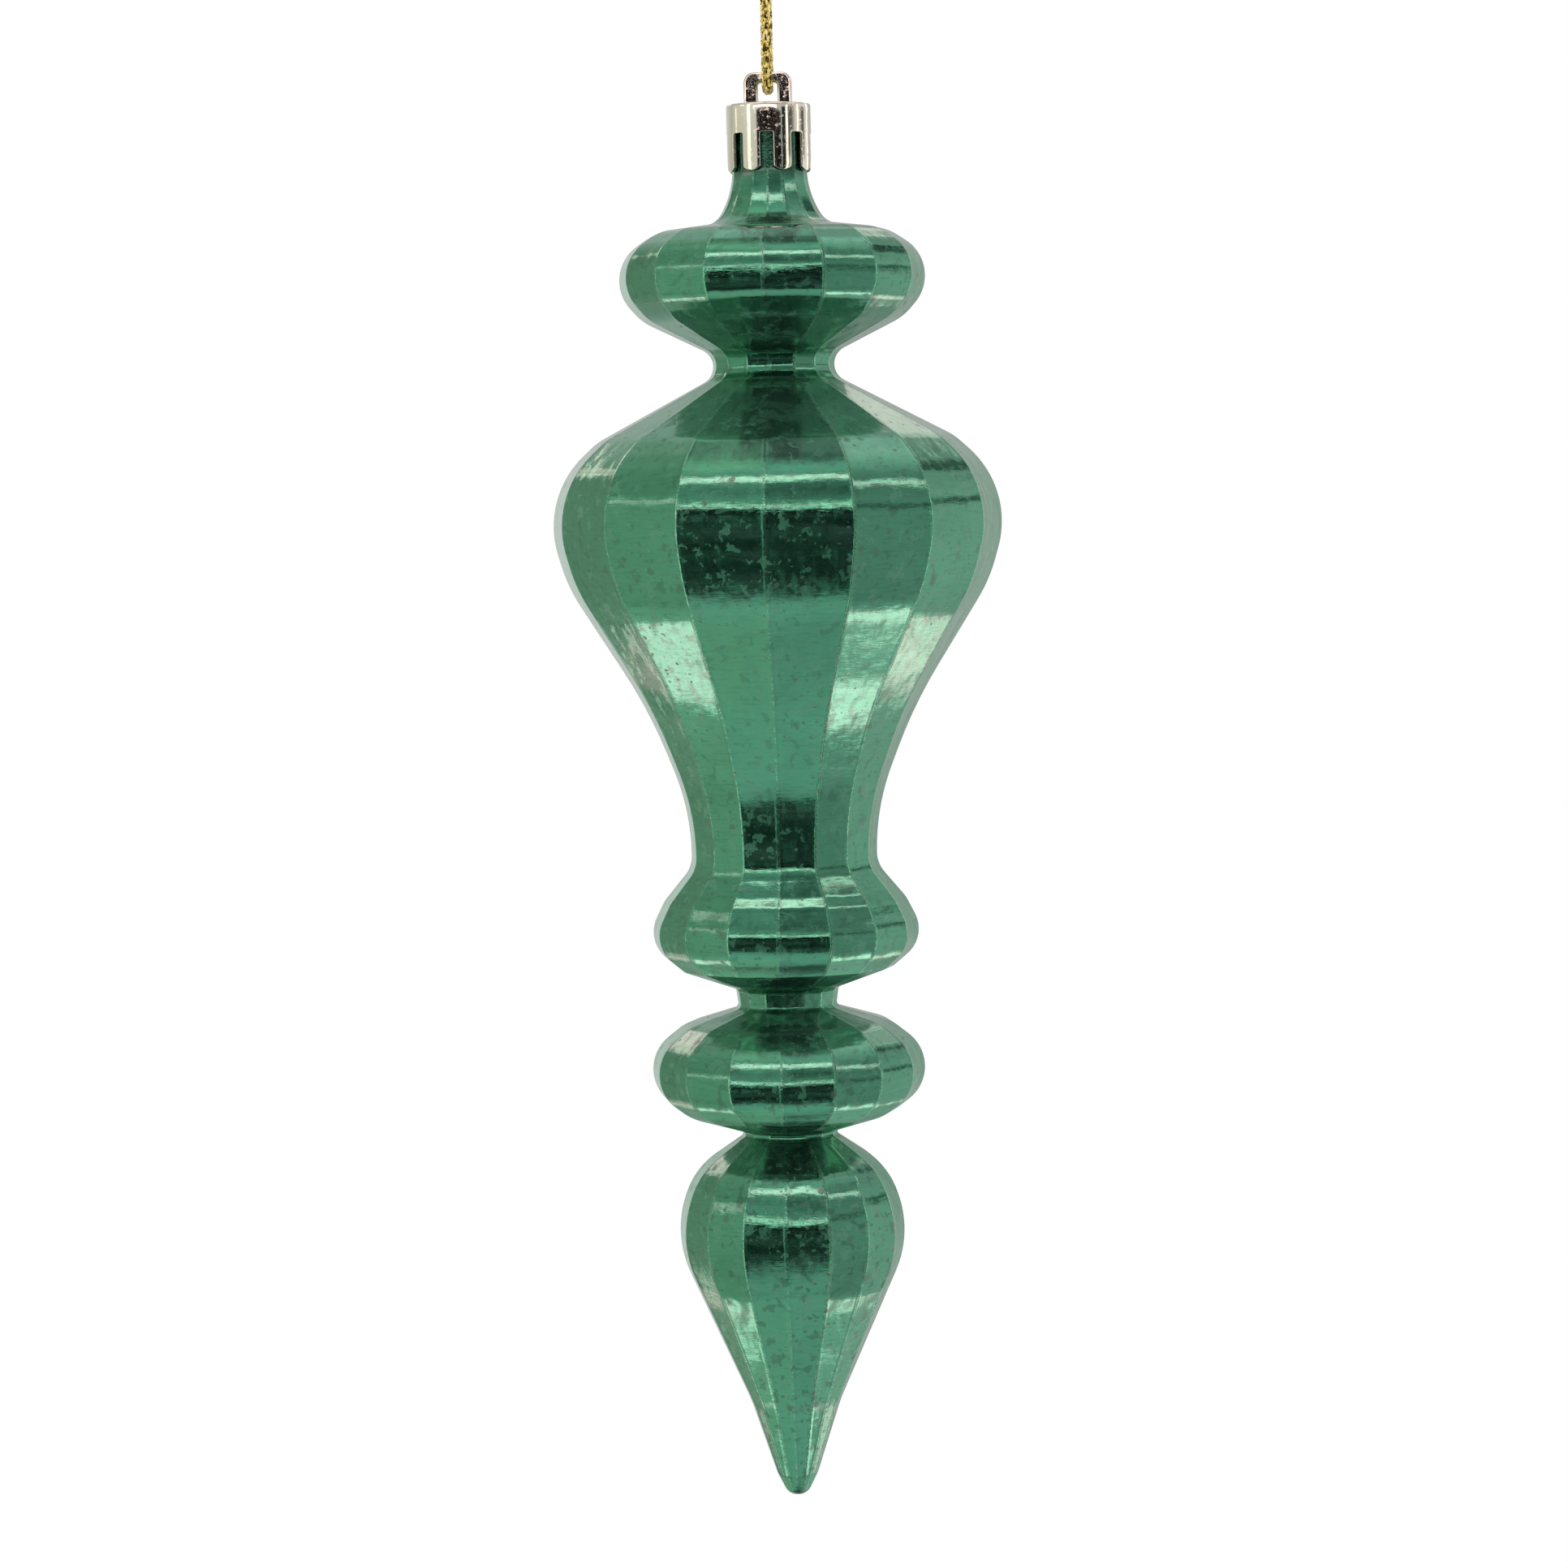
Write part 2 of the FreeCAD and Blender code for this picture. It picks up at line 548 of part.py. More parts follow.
def cord_knot(doc, sheet):
    """The knot on the two ends of the cord: a bevelled lump with two short tails."""
    lump = doc.addObject("Part::Cylinder", "knot_lump")
    lump.setExpression("Radius", "sizes.knot_diameter / 2")
    lump.setExpression("Height", "sizes.knot_height")
    lump.setExpression("Placement.Base.z", "sizes.loop_height")
    doc.recompute()
    bevelled = doc.addObject("Part::Chamfer", "bevelled_lump")
    bevelled.Base = lump
    rings = [i for i, edge in enumerate(lump.Shape.Edges, start=1) if edge.Curve.TypeId == "Part::GeomCircle"]
    bevelled.Edges = [(ring, sheet.knot_bevel, sheet.knot_bevel) for ring in rings]
    pieces = [bevelled]
    for name, side in (("front_tail", 1), ("back_tail", -1)):
        tail = doc.addObject("Part::Cylinder", name)
        tail.setExpression("Radius", "sizes.cord_diameter / 2")
        tail.setExpression("Height", "sizes.knot_height / 2 + sizes.tail_length")
        tail.Placement.Rotation = FreeCAD.Rotation(vector(1, 0), side * sheet.tail_spread)
        tail.setExpression("Placement.Base.y", f"{-side} * sizes.cord_diameter / 2")
        tail.setExpression("Placement.Base.z", "sizes.loop_height + sizes.knot_height / 2")
        pieces.append(tail)
    knot = doc.addObject("Part::MultiFuse", "cord_knot")
    knot.Shapes = pieces
    return knot


def main():
    doc = FreeCAD.newDocument("finial_ornament")
    sheet = size_sheet(doc)
    pieces = [finial_body(doc, sheet), hanger_cap(doc, sheet), hanging_cord(doc, sheet), cord_knot(doc, sheet)]
    doc.recompute()
    failed = [o.Name for o in doc.Objects if {"Invalid", "Error"} & set(o.State)]
    for piece in pieces:
        shape = piece.Shape
        if shape.isNull() or not shape.isValid() or len(shape.Solids) != 1:
            failed.append(piece.Label)
    if failed:
        raise SystemExit("these failed: " + ", ".join(failed))
    os.makedirs("parts", exist_ok=True)
    for piece in pieces:
        box = piece.Shape.BoundBox
        piece.Shape.exportStep(f"parts/{piece.Label}.step")
        print(f"{piece.Label}: {piece.Shape.Volume:.1f} mm3, {len(piece.Shape.Faces)} faces, "
              f"Z {box.ZMin:.2f} to {box.ZMax:.2f}, X {box.XMin:.2f} to {box.XMax:.2f}")


main()
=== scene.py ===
import math

import bmesh
import bpy
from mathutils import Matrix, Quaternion, Vector


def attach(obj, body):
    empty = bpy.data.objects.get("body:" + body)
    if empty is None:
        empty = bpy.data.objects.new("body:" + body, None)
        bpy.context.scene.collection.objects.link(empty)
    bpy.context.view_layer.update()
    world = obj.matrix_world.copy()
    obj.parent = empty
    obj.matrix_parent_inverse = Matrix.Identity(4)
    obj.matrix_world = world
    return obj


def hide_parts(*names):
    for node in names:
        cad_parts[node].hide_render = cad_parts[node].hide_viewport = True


# A hanging finial ornament of tinted mirror plastic, with its hanger cap and a loop
# of knitted metallic cord, in a studio. Sizes are in millimetres, and MM scales them to
# metres. The knit, the cards and the materials' bumps are written in metres.
MM = 0.001
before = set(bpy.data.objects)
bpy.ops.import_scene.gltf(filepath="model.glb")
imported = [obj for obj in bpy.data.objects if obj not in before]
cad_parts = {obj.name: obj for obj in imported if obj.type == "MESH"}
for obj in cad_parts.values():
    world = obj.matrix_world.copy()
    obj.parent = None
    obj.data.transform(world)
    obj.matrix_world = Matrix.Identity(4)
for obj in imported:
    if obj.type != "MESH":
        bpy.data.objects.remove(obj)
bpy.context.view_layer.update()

# The moulding's outline: half across flats, drop below the corner above, rounding.
RIM_HEIGHT = -4.8
OUTLINE = [
    (6.4, 14.1, 17.0), (9.5, 5.4, 4.4), (20.0, 1.4, 8.2), (29.9, 6.7, 7.4), (22.4, 8.6, 9.1),
    (6.7, 7.9, 3.2), (30.65, 12.9, 9.3), (40.8, 9.4, 17.3), (36.3, 15.9, 28.7),
    (22.9, 21.7, 86.0), (16.1, 17.7, 42.0), (16.0, 10.0, 5.5), (20.9, 6.0, 6.0),
    (24.35, 7.1, 5.9), (18.5, 5.0, 1.7), (8.9, 3.5, 1.0), (8.45, 3.3, 1.0), (17.9, 2.9, 7.4),
    (28.1, 8.2, 7.4), (17.9, 7.9, 10.8), (7.45, 3.2, 0.6), (16.8, 6.4, 14.0), (20.8, 12.0, 19.0),
    (7.8, 29.5, 28.0), (3.55, 13.1, 6.0), (1.62, 3.9, 2.3),
]
FACETS = 16
EDGE_ROUNDING = 1.3
ARC_STEP, RUN_STEP = 2.5, 1.0  # how finely the outline is drawn: degrees, millimetres
BODY_WALL, INNER_NECK = 1.1, 8.0
SEAM_EDGE = -67.5  # the edge with the mould's seam, in degrees round the axis
FAR_FROM_EDGE = 9.0  # what the inner neck has as its distance to an edge and the seam

# the cap and its eye
CAP_TOP, CAP_FOOT = -3.8, -15.6
CAP_RADIUS, CAP_WALL = 7.35, 0.72
SLOTS, SLOT_WIDTH, SLOT_TOP = 8, 2.3, -9.0
EYE_WIDTH, EYE_DEPTH, EYE_BAR = 8.3, 3.0, 1.75
EYE_OPENING, EYE_CORNER, EYE_OPENING_CORNER = 3.5, 1.7, 0.6
EYE_STATIONS = 72  # sections along the arch

# the cord and its knit of V-shaped stitches. A stitch's arms start at a distance from the
# row's middle and lean away from it, in shares of half a row. They lie out from the cord's
# middle and bulge, in shares of its width, and start and reach along it, in stitches.
KNIT_ROWS, STITCH_STEPS = 4, 8
STITCH_OFF, STITCH_LEAN = 0.06, 0.74
STITCH_OUT, STITCH_BULGE = 0.42, 0.11
STITCH_START, STITCH_REACH = -0.1, 1.35
CORE_RADIUS, CORE_SHADE_TONE = 0.26, -1.6  # the core: a share of the width, and its tone, which paints shade between the stitches
TONE_SCATTER = 0.381966  # the golden section, which spreads the stitches' tones evenly
NO_THREAD_WAY = Vector((0.31, 0.83, 0.46))  # a direction that no thread runs in

# the knot: heights in millimetres, and how far each end winds round, in degrees
KNOT_FOOT, KNOT_TALL, TAIL_FOOT, TAIL_TALL = 60.9, 4.1, 65.3, 6.3
KNOT_TURN, KNOT_STEPS, TAIL_STEPS = 430.0, 18, 6


def turn_at(before, corner, after):
    first = math.atan2(corner[1] - before[1], corner[0] - before[0])
    second = math.atan2(after[1] - corner[1], after[0] - corner[0])
    return (second - first + math.pi) % (2 * math.pi) - math.pi


def fitted_roundings(points, roundings):
    """Roundings that leave each run a straight part."""
    turns = [abs(turn_at(*points[i:i + 3])) for i in range(len(roundings))]
    reach = [0.0] + [r * math.tan(t / 2) for r, t in zip(roundings, turns)] + [0.0]
    share = [1.0] * len(roundings)
    for i in range(len(points) - 1):
        over = (reach[i] + reach[i + 1]) / (math.dist(points[i], points[i + 1]) * 0.98)
        for k in (i - 1, i):
            if over > 1 and 0 <= k < len(share):
                share[k] = min(share[k], 1 / over)
    return [r * s for r, s in zip(roundings, share)]


def rounded_chain(points, roundings, arc_step, run_step):
    """Points along a chain with rounded corners: (across, height, heading)."""
    chain = []
    start = points[0]
    for i, radius in enumerate(roundings):
        before, corner, after = points[i:i + 3]
        turn = turn_at(before, corner, after)
        reach = radius * math.tan(abs(turn) / 2)
        heading = math.atan2(corner[1] - before[1], corner[0] - before[0])
        side = math.copysign(math.pi / 2, turn)
        touch = (corner[0] - reach * math.cos(heading), corner[1] - reach * math.sin(heading))
        centre = (touch[0] + radius * math.cos(heading + side),
                  touch[1] + radius * math.sin(heading + side))
        runs = max(1, int(math.dist(start, touch) / run_step))
        for j in range(1 if chain else 0, runs):
            f = j / runs
            chain.append((*[a + (b - a) * f for a, b in zip(start, touch)], heading))
        steps = max(2, math.ceil(abs(turn) / arc_step))
        for j in range(steps + 1):
            way = heading + turn * j / steps
            chain.append((centre[0] - radius * math.cos(way + side),
                          centre[1] - radius * math.sin(way + side), way))
        start = (corner[0] + reach * math.cos(heading + turn),
                 corner[1] + reach * math.sin(heading + turn))
    end = points[-1]
    chain.append((end[0], end[1], math.atan2(end[1] - start[1], end[0] - start[0])))
    return chain


def link(obj):
    bpy.context.scene.collection.objects.link(obj)
    return obj


def mesh_object(name, verts, faces, material, normals=None):
    """A smooth object from points in metres."""
    mesh = bpy.data.meshes.new(name)
    mesh.from_pydata(verts, [], faces)
    mesh.polygons.foreach_set("use_smooth", [True] * len(mesh.polygons))
    if normals:
        mesh.normals_split_custom_set_from_vertices(normals)
    mesh.materials.append(material)
    return link(bpy.data.objects.new(name, mesh))


def in_metres(points):
    return [Vector(point) * MM for point in points]


def add_values(piece, name, values):
    """Give a piece's points an attribute that its material reads."""
    piece.data.attributes.new(name, "FLOAT", "POINT").data.foreach_set("value", values)


class Nodes:
    """The nodes of a new material, or of a world. Inputs are given by name, or as i0, i1
    and so on by number. A value is a number, a colour, a node or one of its outputs."""
    def __init__(self, name, world=None):
        self.owner = world or bpy.data.materials.new(name)
        self.owner.use_nodes = True
        self.tree = self.owner.node_tree
        self.tree.nodes.clear()

    def add(self, kind, settings=None, **inputs):
        node = self.tree.nodes.new(kind)
        for key, value in (settings or {}).items():
            setattr(node, key, value)
        for key, value in inputs.items():
            numbered = key[0] == "i" and key[1:].isdigit()
            socket = node.inputs[int(key[1:]) if numbered else key.replace("_", " ")]
            if isinstance(value, bpy.types.NodeSocket):
                self.tree.links.new(value, socket)
            elif isinstance(value, bpy.types.Node):
                self.tree.links.new(value.outputs[0], socket)
            else:
                socket.default_value = value
        return node

    def math(self, operation, first, second=0.0, third=0.0):
        node = self.add("ShaderNodeMath", {"operation": operation}, i0=first, i1=second, i2=third)
        return node.outputs[0]

    def attribute(self, name):
        return self.add("ShaderNodeAttribute", {"attribute_name": name}).outputs["Fac"]

    def distance(self, value, from_value):
        return self.math("ABSOLUTE", self.math("SUBTRACT", value, from_value))

    def stretched(self, vector, *scale):
        return self.add("ShaderNodeMapping", Vector=vector, Scale=scale).outputs[0]

    def ramp(self, value, low, high, from_value=0.0, to_value=1.0):
        """A smooth step from low to high."""
        limits = {"From_Min": low, "From_Max": high, "To_Min": from_value, "To_Max": to_value}
        kind = {"interpolation_type": "SMOOTHSTEP"}
        return self.add("ShaderNodeMapRange", kind, Value=value, **limits).outputs[0]

    def mix(self, factor, first, second):
        kind = {"data_type": "RGBA"}
        return self.add("ShaderNodeMix", kind, i0=factor, i6=first, i7=second).outputs[2]

    def noise(self, vector, scale, detail=2.0, roughness=0.5, distortion=0.0):
        return self.add("ShaderNodeTexNoise", Vector=vector, Scale=scale, Detail=detail,
                        Roughness=roughness, Distortion=distortion)

    def bump(self, height, strength, distance, normal=None):
        under = {} if normal is None else {"Normal": normal}
        return self.add("ShaderNodeBump", Height=height, Strength=strength, Distance=distance,
                        **under).outputs[0]

    def finish(self, shader):
        self.add("ShaderNodeOutputMaterial", Surface=shader)
        return self.owner


def colour(red, green, blue):
    return (red, green, blue, 1.0)


# the colours of the tinted mirror, from its plain green on; some are painted light and shade
TINTS = {
    "plain": colour(0.060, 0.275, 0.160), "pale": colour(0.074, 0.315, 0.188),
    "streak": colour(0.045, 0.200, 0.122), "painted_edge_highlight": colour(0.46, 0.70, 0.57),
    "film": colour(0.105, 0.330, 0.220), "underside": colour(0.062, 0.190, 0.125),
    "painted_dark_reflection": colour(0.022, 0.076, 0.052), "painted_grazing_sheen": colour(0.225, 0.320, 0.260),
    "stain": colour(0.036, 0.120, 0.080), "speck": colour(0.048, 0.150, 0.098),
    "dot": colour(0.074, 0.290, 0.180), "painted_seam_shade": colour(0.010, 0.040, 0.026),
    "under_cap": colour(0.008, 0.034, 0.022),
}
# the specks' cells to a metre, the share of cells that have none, and the largest size
SPECKS = [(210.0, 0.62, 0.34), (420.0, 0.50, 0.40), (900.0, 0.35, 0.42)]
# heights and distances on the body, in metres
DROP_FOOT, DROP_TOP = -0.205, -0.150  # where the stains are densest, and where that ends
SHADE_FOOT, SHADE_TOP = -0.0175, -0.0150  # the shade on the neck inside the cap
DARK_REFLECTION_MIDDLE = 0.0008  # how far the painted dark reflection lies off the middle of the front
SPECK_SHAKE = 0.0012  # how far the specks' outlines wander


def specks_of(n, place, shaken, crowd):
    """Specks of three sizes, crowded in some places and near the drop."""
    height = n.add("ShaderNodeSeparateXYZ", i0=place).outputs[2]
    low_down = n.ramp(height, -0.200, DROP_TOP, 0.22, 0.0)
    specks = None
    for scale, chosen, large in SPECKS:
        cells = n.add("ShaderNodeTexVoronoi", Vector=shaken, Scale=scale)
        pick = n.add("ShaderNodeSeparateColor", i0=cells.outputs["Color"]).outputs[0]
        pick = n.math("ADD", pick, low_down)
        crowded = n.ramp(crowd, 0.35, 0.60, 0.45, 1.0)
        reach = n.math("MULTIPLY", n.ramp(pick, chosen, 1.05, 0.02, large), crowded)
        mask = n.ramp(n.math("SUBTRACT", reach, cells.outputs["Distance"]), 0.0, 0.20)
        specks = mask if specks is None else n.math("MAXIMUM", specks, mask)
    return n.math("MULTIPLY", specks, 0.80)


def mirror_plastic():
    """Vacuum metallised plastic under tinted lacquer, with mottle, ripples, painted light and
    shade.
    """
    n = Nodes("tinted_mirror")
    place = n.add("ShaderNodeTexCoord").outputs["Object"]
    across, _, height = n.add("ShaderNodeSeparateXYZ", i0=place).outputs
    edge, seam, facing_up = (n.attribute(name) for name in ("edge_mm", "seam_mm", "slope"))
    slope = n.math("ABSOLUTE", facing_up)
    wobble = n.noise(place, 900.0, 2.0)
    shaken = n.add("ShaderNodeVectorMath", {"operation": "MULTIPLY_ADD"},
                   i0=wobble.outputs["Color"], i1=(SPECK_SHAKE,) * 3, i2=place).outputs[0]
    crowd = n.noise(place, 55.0, 3.0, 0.6).outputs["Fac"]
    specks = specks_of(n, place, shaken, crowd)

    # ripples of the blown wall, which run along it, and the lacquer's faint waviness
    swell = n.noise(place, 90.0, 1.5).outputs["Fac"]
    drawn = n.noise(n.stretched(place, 1.0, 1.0, 0.30), 300.0, 1.0, 0.45).outputs["Fac"]
    peel = n.noise(place, 520.0, 1.0).outputs["Fac"]
    streaks = n.noise(n.stretched(place, 1.0, 1.0, 7.0), 330.0, 4.0, 0.68).outputs["Fac"]
    ragged = n.noise(place, 1500.0, 3.0, 0.7).outputs["Fac"]
    near_edge = n.ramp(edge, 0.1, 0.7, 1.0, 0.0)
    line = n.math("ADD", seam, n.math("MULTIPLY", n.math("SUBTRACT", ragged, 0.5), 0.7))
    ridge = n.ramp(n.math("ABSOLUTE", line), 0.05, 0.30, 1.0, 0.0)
    normal = n.bump(swell, 0.7, 0.00042)
    normal = n.bump(drawn, 0.7, 0.00014, normal)
    normal = n.bump(peel, 0.6, 0.00005, normal)
    normal = n.bump(streaks, 0.5, 0.00003, normal)
    normal = n.bump(n.math("MULTIPLY", near_edge, ragged), 0.7, 0.00007, normal)
    normal = n.bump(ridge, 0.8, 0.00016, normal)

    # the lacquer's green, in streaks, with painted highlight on edge crests, and paler on steep
    # slopes
    tint = n.mix(n.ramp(crowd, 0.3, 0.7), TINTS["plain"], TINTS["pale"])
    tint = n.mix(n.ramp(streaks, 0.46, 0.72, 0.0, 0.60), tint, TINTS["streak"])
    # painted highlight: a pale ragged line along the rounded edges between facets
    painted_edge_highlight = n.ramp(edge, 0.05, 0.20, 1.0, 0.0)
    painted_edge_highlight = n.math("MULTIPLY", painted_edge_highlight, n.ramp(ragged, 0.48, 0.60, 0.0, 0.30))
    tint = n.mix(painted_edge_highlight, tint, TINTS["painted_edge_highlight"])
    # paler on steep slopes: a dull film, partly real haze and partly painted light on faces turned
    # up and down
    film = n.math("MULTIPLY", n.ramp(slope, 0.50, 0.92), n.ramp(crowd, 0.30, 0.65, 0.6, 1.0))
    tint = n.mix(film, tint, TINTS["film"])
    # painted shade: a darker green on the faces that turn down
    tint = n.mix(n.ramp(facing_up, -0.66, -0.50, 0.55, 0.0), tint, TINTS["underside"])

    # painted dark reflection: a dark mottled patch on the shoulders of the front and back
    blotch = n.noise(place, 230.0, 5.0, 0.7, 0.6).outputs["Fac"]
    strip = n.ramp(n.distance(across, DARK_REFLECTION_MIDDLE), 0.0044, 0.0058, 1.0, 0.0)
    painted_dark_reflection = n.math("MULTIPLY", strip, n.ramp(slope, 0.50, 0.75))
    painted_dark_reflection = n.math("MULTIPLY", painted_dark_reflection, n.ramp(blotch, 0.40, 0.58, 0.30, 1.0))
    tint = n.mix(n.math("MULTIPLY", painted_dark_reflection, 0.82), tint, TINTS["painted_dark_reflection"])

    # painted sheen: a pale grey-green that shows at a grazing angle; then stains, and the specks
    painted_grazing_sheen = n.add("ShaderNodeLayerWeight", Blend=0.5).outputs["Facing"]
    painted_grazing_sheen = n.math("MULTIPLY", n.ramp(painted_grazing_sheen, 0.70, 0.95), n.ramp(blotch, 0.40, 0.62, 0.25, 0.85))
    tint = n.mix(painted_grazing_sheen, tint, TINTS["painted_grazing_sheen"])
    stains = n.noise(place, 480.0, 1.5, 0.5, 0.4).outputs["Fac"]
    density = n.ramp(height, DROP_FOOT, DROP_TOP, 0.58, 0.34)
    stains = n.math("MULTIPLY", n.ramp(stains, 0.60, 0.67), density)
    tint = n.mix(stains, tint, TINTS["stain"])
    base = n.mix(specks, tint, TINTS["speck"])

    # dull dots in the lacquer: as green as a lit facet, so that they show where one is dark
    dots = n.noise(shaken, 430.0, 2.5, 0.6, 0.3).outputs["Fac"]
    dots = n.math("MULTIPLY", n.ramp(dots, 0.570, 0.620), n.ramp(crowd, 0.35, 0.60, 0.26, 0.58))
    base = n.mix(dots, base, TINTS["dot"])

    # painted shade: a dark line beside the seam's ridge, and the shade on the neck inside the cap
    painted_seam_shade = n.ramp(n.distance(line, 0.16), 0.02, 0.14, 0.7, 0.0)
    base = n.mix(painted_seam_shade, base, TINTS["painted_seam_shade"])
    base = n.mix(n.ramp(height, SHADE_FOOT, SHADE_TOP, 0.0, 0.80), base, TINTS["under_cap"])

    worn = n.math("MAXIMUM", specks, n.math("MULTIPLY", painted_edge_highlight, 0.3))
    roughness = n.math("ADD", n.math("MULTIPLY", worn, 0.35), n.ramp(swell, 0.3, 0.7, 0.04, 0.08))
    bloom = n.math("MULTIPLY", n.math("MAXIMUM", film, painted_grazing_sheen), 0.10)
    roughness = n.math("ADD", roughness, bloom)
    dull = n.math("MAXIMUM", n.math("MULTIPLY", specks, 0.55), n.math("MULTIPLY", film, 0.32))
    dull = n.math("MAXIMUM", dull, dots)
    metallic = n.math("SUBTRACT", 0.97, n.math("MULTIPLY", dull, 0.90))
    shader = n.add("ShaderNodeBsdfPrincipled", Base_Color=base, Metallic=metallic,
                   Roughness=roughness, Normal=normal, Specular_Tint=colour(0.78, 1.0, 0.85),
                   Coat_Weight=0.45, Coat_Roughness=0.05, Coat_IOR=1.5)
    return n.finish(shader)


def cap_metal():
    """Bright vacuum metal on moulded plastic, with fine scuffs and a slight ripple."""
    n = Nodes("cap_silver")
    place = n.add("ShaderNodeTexCoord").outputs["Object"]
    swell = n.noise(n.stretched(place, 1.0, 1.0, 0.35), 240.0, 2.0).outputs["Fac"]
    grain = n.noise(place, 2600.0, 3.0, 0.6).outputs["Fac"]
    pits = n.ramp(n.noise(place, 1400.0, 2.0).outputs["Fac"], 0.66, 0.74)
    normal = n.bump(swell, 0.4, 0.00005)
    normal = n.bump(pits, 0.5, 0.00004, normal)
    base = n.mix(n.ramp(swell, 0.35, 0.65), colour(0.67, 0.68, 0.57), colour(0.77, 0.78, 0.68))
    worn = n.ramp(n.noise(place, 1100.0, 3.0, 0.6).outputs["Fac"], 0.57, 0.68, 0.0, 0.14)
    roughness = n.math("ADD", n.ramp(grain, 0.3, 0.7, 0.03, 0.07), worn)
    return n.finish(n.add("ShaderNodeBsdfPrincipled", Base_Color=base, Metallic=1.0,
                          Roughness=roughness, Normal=normal))


def cord_yarn():
    """Metallic yarn: flat gold film laid in fine threads along each stitch, with painted glints
    and shade.
    """
    n = Nodes("cord_gold")
    place = n.add("ShaderNodeTexCoord").outputs["Object"]
    tone = n.attribute("tone")
    threads = n.noise(place, 6000.0, 2.0, 0.6).outputs["Fac"]
    glints = n.noise(place, 2300.0, 1.0).outputs["Fac"]
    glints = n.math("MULTIPLY", n.math("SUBTRACT", glints, 0.5), 2.6)
    value = n.math("ADD", n.math("MULTIPLY", tone, 0.35), glints)
    # the glints noise paints pale glints and dark shade into the colour; the core's low tone is
    # painted shade
    shade, film = colour(0.055, 0.048, 0.006), colour(0.55, 0.47, 0.080)
    base = n.mix(n.ramp(value, -0.40, -0.10), shade, film)
    base = n.mix(n.ramp(value, -0.05, 0.30), base, colour(1.0, 0.96, 0.44))
    normal = n.bump(threads, 0.8, 0.00006)
    return n.finish(n.add("ShaderNodeBsdfPrincipled", Base_Color=base, Metallic=0.75,
                          Roughness=0.33, Normal=normal))


# How much more a facet faces up than the outline alone says, in degrees by height: the
# belts' soft folds, which the blown wall doesn't follow as sharply as its mould.
LEANS = [
    (-27.0, 0.0), (-28.0, -3.0), (-33.0, -4.0), (-34.4, 4.0), (-36.4, 11.0), (-37.2, 3.0),
    (-38.0, -2.0), (-41.5, 0.0),
    (-66.0, 0.0), (-70.0, -5.0), (-75.5, -5.0), (-79.0, 0.0), (-85.0, 8.0), (-89.5, 11.0),
    (-93.5, 0.0), (-134.5, 0.0), (-138.0, -15.0), (-140.3, -20.0), (-141.3, -10.0),
    (-144.9, -10.0), (-147.0, 0.0), (-148.5, 0.0), (-150.3, 6.0), (-154.4, 19.0),
    (-156.5, 19.0), (-158.0, 0.0), (-167.0, 0.0), (-172.0, 10.0), (-174.0, 16.0),
    (-176.4, 17.0), (-181.2, 24.0), (-183.0, 20.0), (-184.5, 0.0), (-204.0, 0.0),
    (-210.2, 13.0), (-211.2, 3.0), (-213.4, 1.5), (-214.5, 0.0),
]


def lean(height):
    """The correction to a facet's lean at a height, in radians."""
    for (upper, first), (lower, second) in zip(LEANS, LEANS[1:]):
        if lower <= height <= upper:
            return math.radians(first + (second - first) * (upper - height) / (upper - lower))
    return 0.0


